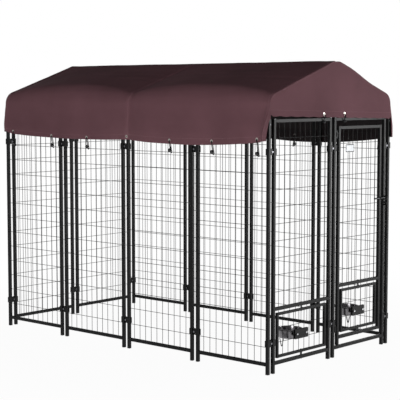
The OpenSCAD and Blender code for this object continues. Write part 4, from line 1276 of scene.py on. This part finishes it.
class KENNEL_OT_stage(bpy.types.Operator):
    """Set the pale floor, soft lamps, white surroundings and camera"""
    bl_idname = "kennel.stage"
    bl_label = "Studio"

    def execute(self, context):
        scene = context.scene
        scene.view_settings.view_transform = "Standard"
        self.lay_floor(context)
        self.light_sky(scene)
        for lamp in SOFT_BOXES:
            soft_box(*lamp)
        data = bpy.data.cameras.new("photo_camera")
        data.sensor_width = CAMERA_SENSOR
        data.lens = CAMERA_LENS
        data.clip_end = CAMERA_FAR
        camera = link_object("photo_camera", data)
        ahead = Vector((math.cos(CAMERA_YAW) * math.cos(CAMERA_PITCH),
                        math.sin(CAMERA_YAW) * math.cos(CAMERA_PITCH), -math.sin(CAMERA_PITCH)))
        camera.location = CAMERA_AT
        camera.rotation_euler = ahead.to_track_quat("-Z", "Y").to_euler()
        scene.camera = camera
        return {"FINISHED"}

    @staticmethod
    def lay_floor(context):
        """Matt paper: it shows its shading under the run and passes into white further out"""
        deselect()
        bpy.ops.mesh.primitive_plane_add(size=FLOOR_SIZE)
        floor = context.active_object
        floor.name = "studio_floor"
        material, add = new_material("matt_paper_floor")
        light = add("LightPath").outputs
        seen = add("Math", {0: light["Is Camera Ray"], 1: light["Is Glossy Ray"]},
                   operation="MAXIMUM")
        away = add("VectorMath", {0: add("TexCoord").outputs["Object"]}, operation="LENGTH")
        white = add("MapRange", {0: away.outputs[1], **FLOOR_WHITE},
                    interpolation_type="SMOOTHSTEP")
        share = add("Math", {0: seen, 1: white}, operation="MULTIPLY")
        paper = add("BsdfDiffuse", {"Color": rgba(context.scene.kennel_colours.floor)})
        glow = add("Emission", {"Color": (1, 1, 1, 1), "Strength": 1.0})
        add("OutputMaterial", {0: add("MixShader", {0: share, 1: paper, 2: glow})})
        floor.data.materials.append(material)

    @staticmethod
    def light_sky(scene):
        """White surroundings that fill the shadows a little; reflections see them dimly, so that
        bare metal shows dark and bright parts"""
        scene.world = bpy.data.worlds.new("white_surroundings")
        add = node_adder(scene.world)
        light = add("LightPath").outputs
        shiny = add("Math", {0: light["Is Glossy Ray"], 1: SKY_REFLECTED}, operation="MULTIPLY")
        seen = add("Math", {0: light["Is Camera Ray"], 1: shiny}, operation="MAXIMUM")
        strength = add("MapRange", {0: seen, 3: SKY_FILL, 4: SKY_SHOWN})
        sky = add("Background", {"Color": (1, 1, 1, 1), "Strength": strength})
        add("OutputWorld", {0: sky})


STEPS = (KENNEL_OT_stage, KENNEL_OT_steelwork, KENNEL_OT_bowls, KENNEL_OT_plastics,
         KENNEL_OT_cover, KENNEL_OT_ties, KENNEL_OT_stile_foot, KENNEL_OT_gate_plate,
         KENNEL_OT_gable_balls, KENNEL_OT_hoops)


class KENNEL_PT_build(bpy.types.Panel):
    """Steps, sizes and colours of the dog run"""
    bl_idname = "KENNEL_PT_build"
    bl_label = "Dog run"
    bl_space_type = "VIEW_3D"
    bl_region_type = "UI"
    bl_category = "Kennel"

    def draw(self, context):
        for step in STEPS:
            self.layout.operator(step.bl_idname)
        for group in (context.scene.kennel_sizes, context.scene.kennel_colours):
            column = self.layout.column()
            for name in group.__annotations__:
                column.prop(group, name)


CLASSES = (KennelColours, KennelSizes) + STEPS + (KENNEL_PT_build,)


def register():
    for item in CLASSES:
        bpy.utils.register_class(item)
    bpy.types.Scene.kennel_colours = bpy.props.PointerProperty(type=KennelColours)
    bpy.types.Scene.kennel_sizes = bpy.props.PointerProperty(type=KennelSizes)


def unregister():
    del bpy.types.Scene.kennel_sizes
    del bpy.types.Scene.kennel_colours
    for item in reversed(CLASSES):
        bpy.utils.unregister_class(item)


def main():
    register()
    bpy.ops.kennel.stage()
    bpy.ops.kennel.steelwork()
    bpy.ops.kennel.bowls()
    bpy.ops.kennel.plastics()
    bpy.ops.kennel.cover()
    bpy.ops.kennel.ties()
    bpy.ops.kennel.stile_foot()
    bpy.ops.kennel.gate_plate()
    bpy.ops.kennel.gable_balls()
    bpy.ops.kennel.hoops()


if __name__ == "__main__":
    main()
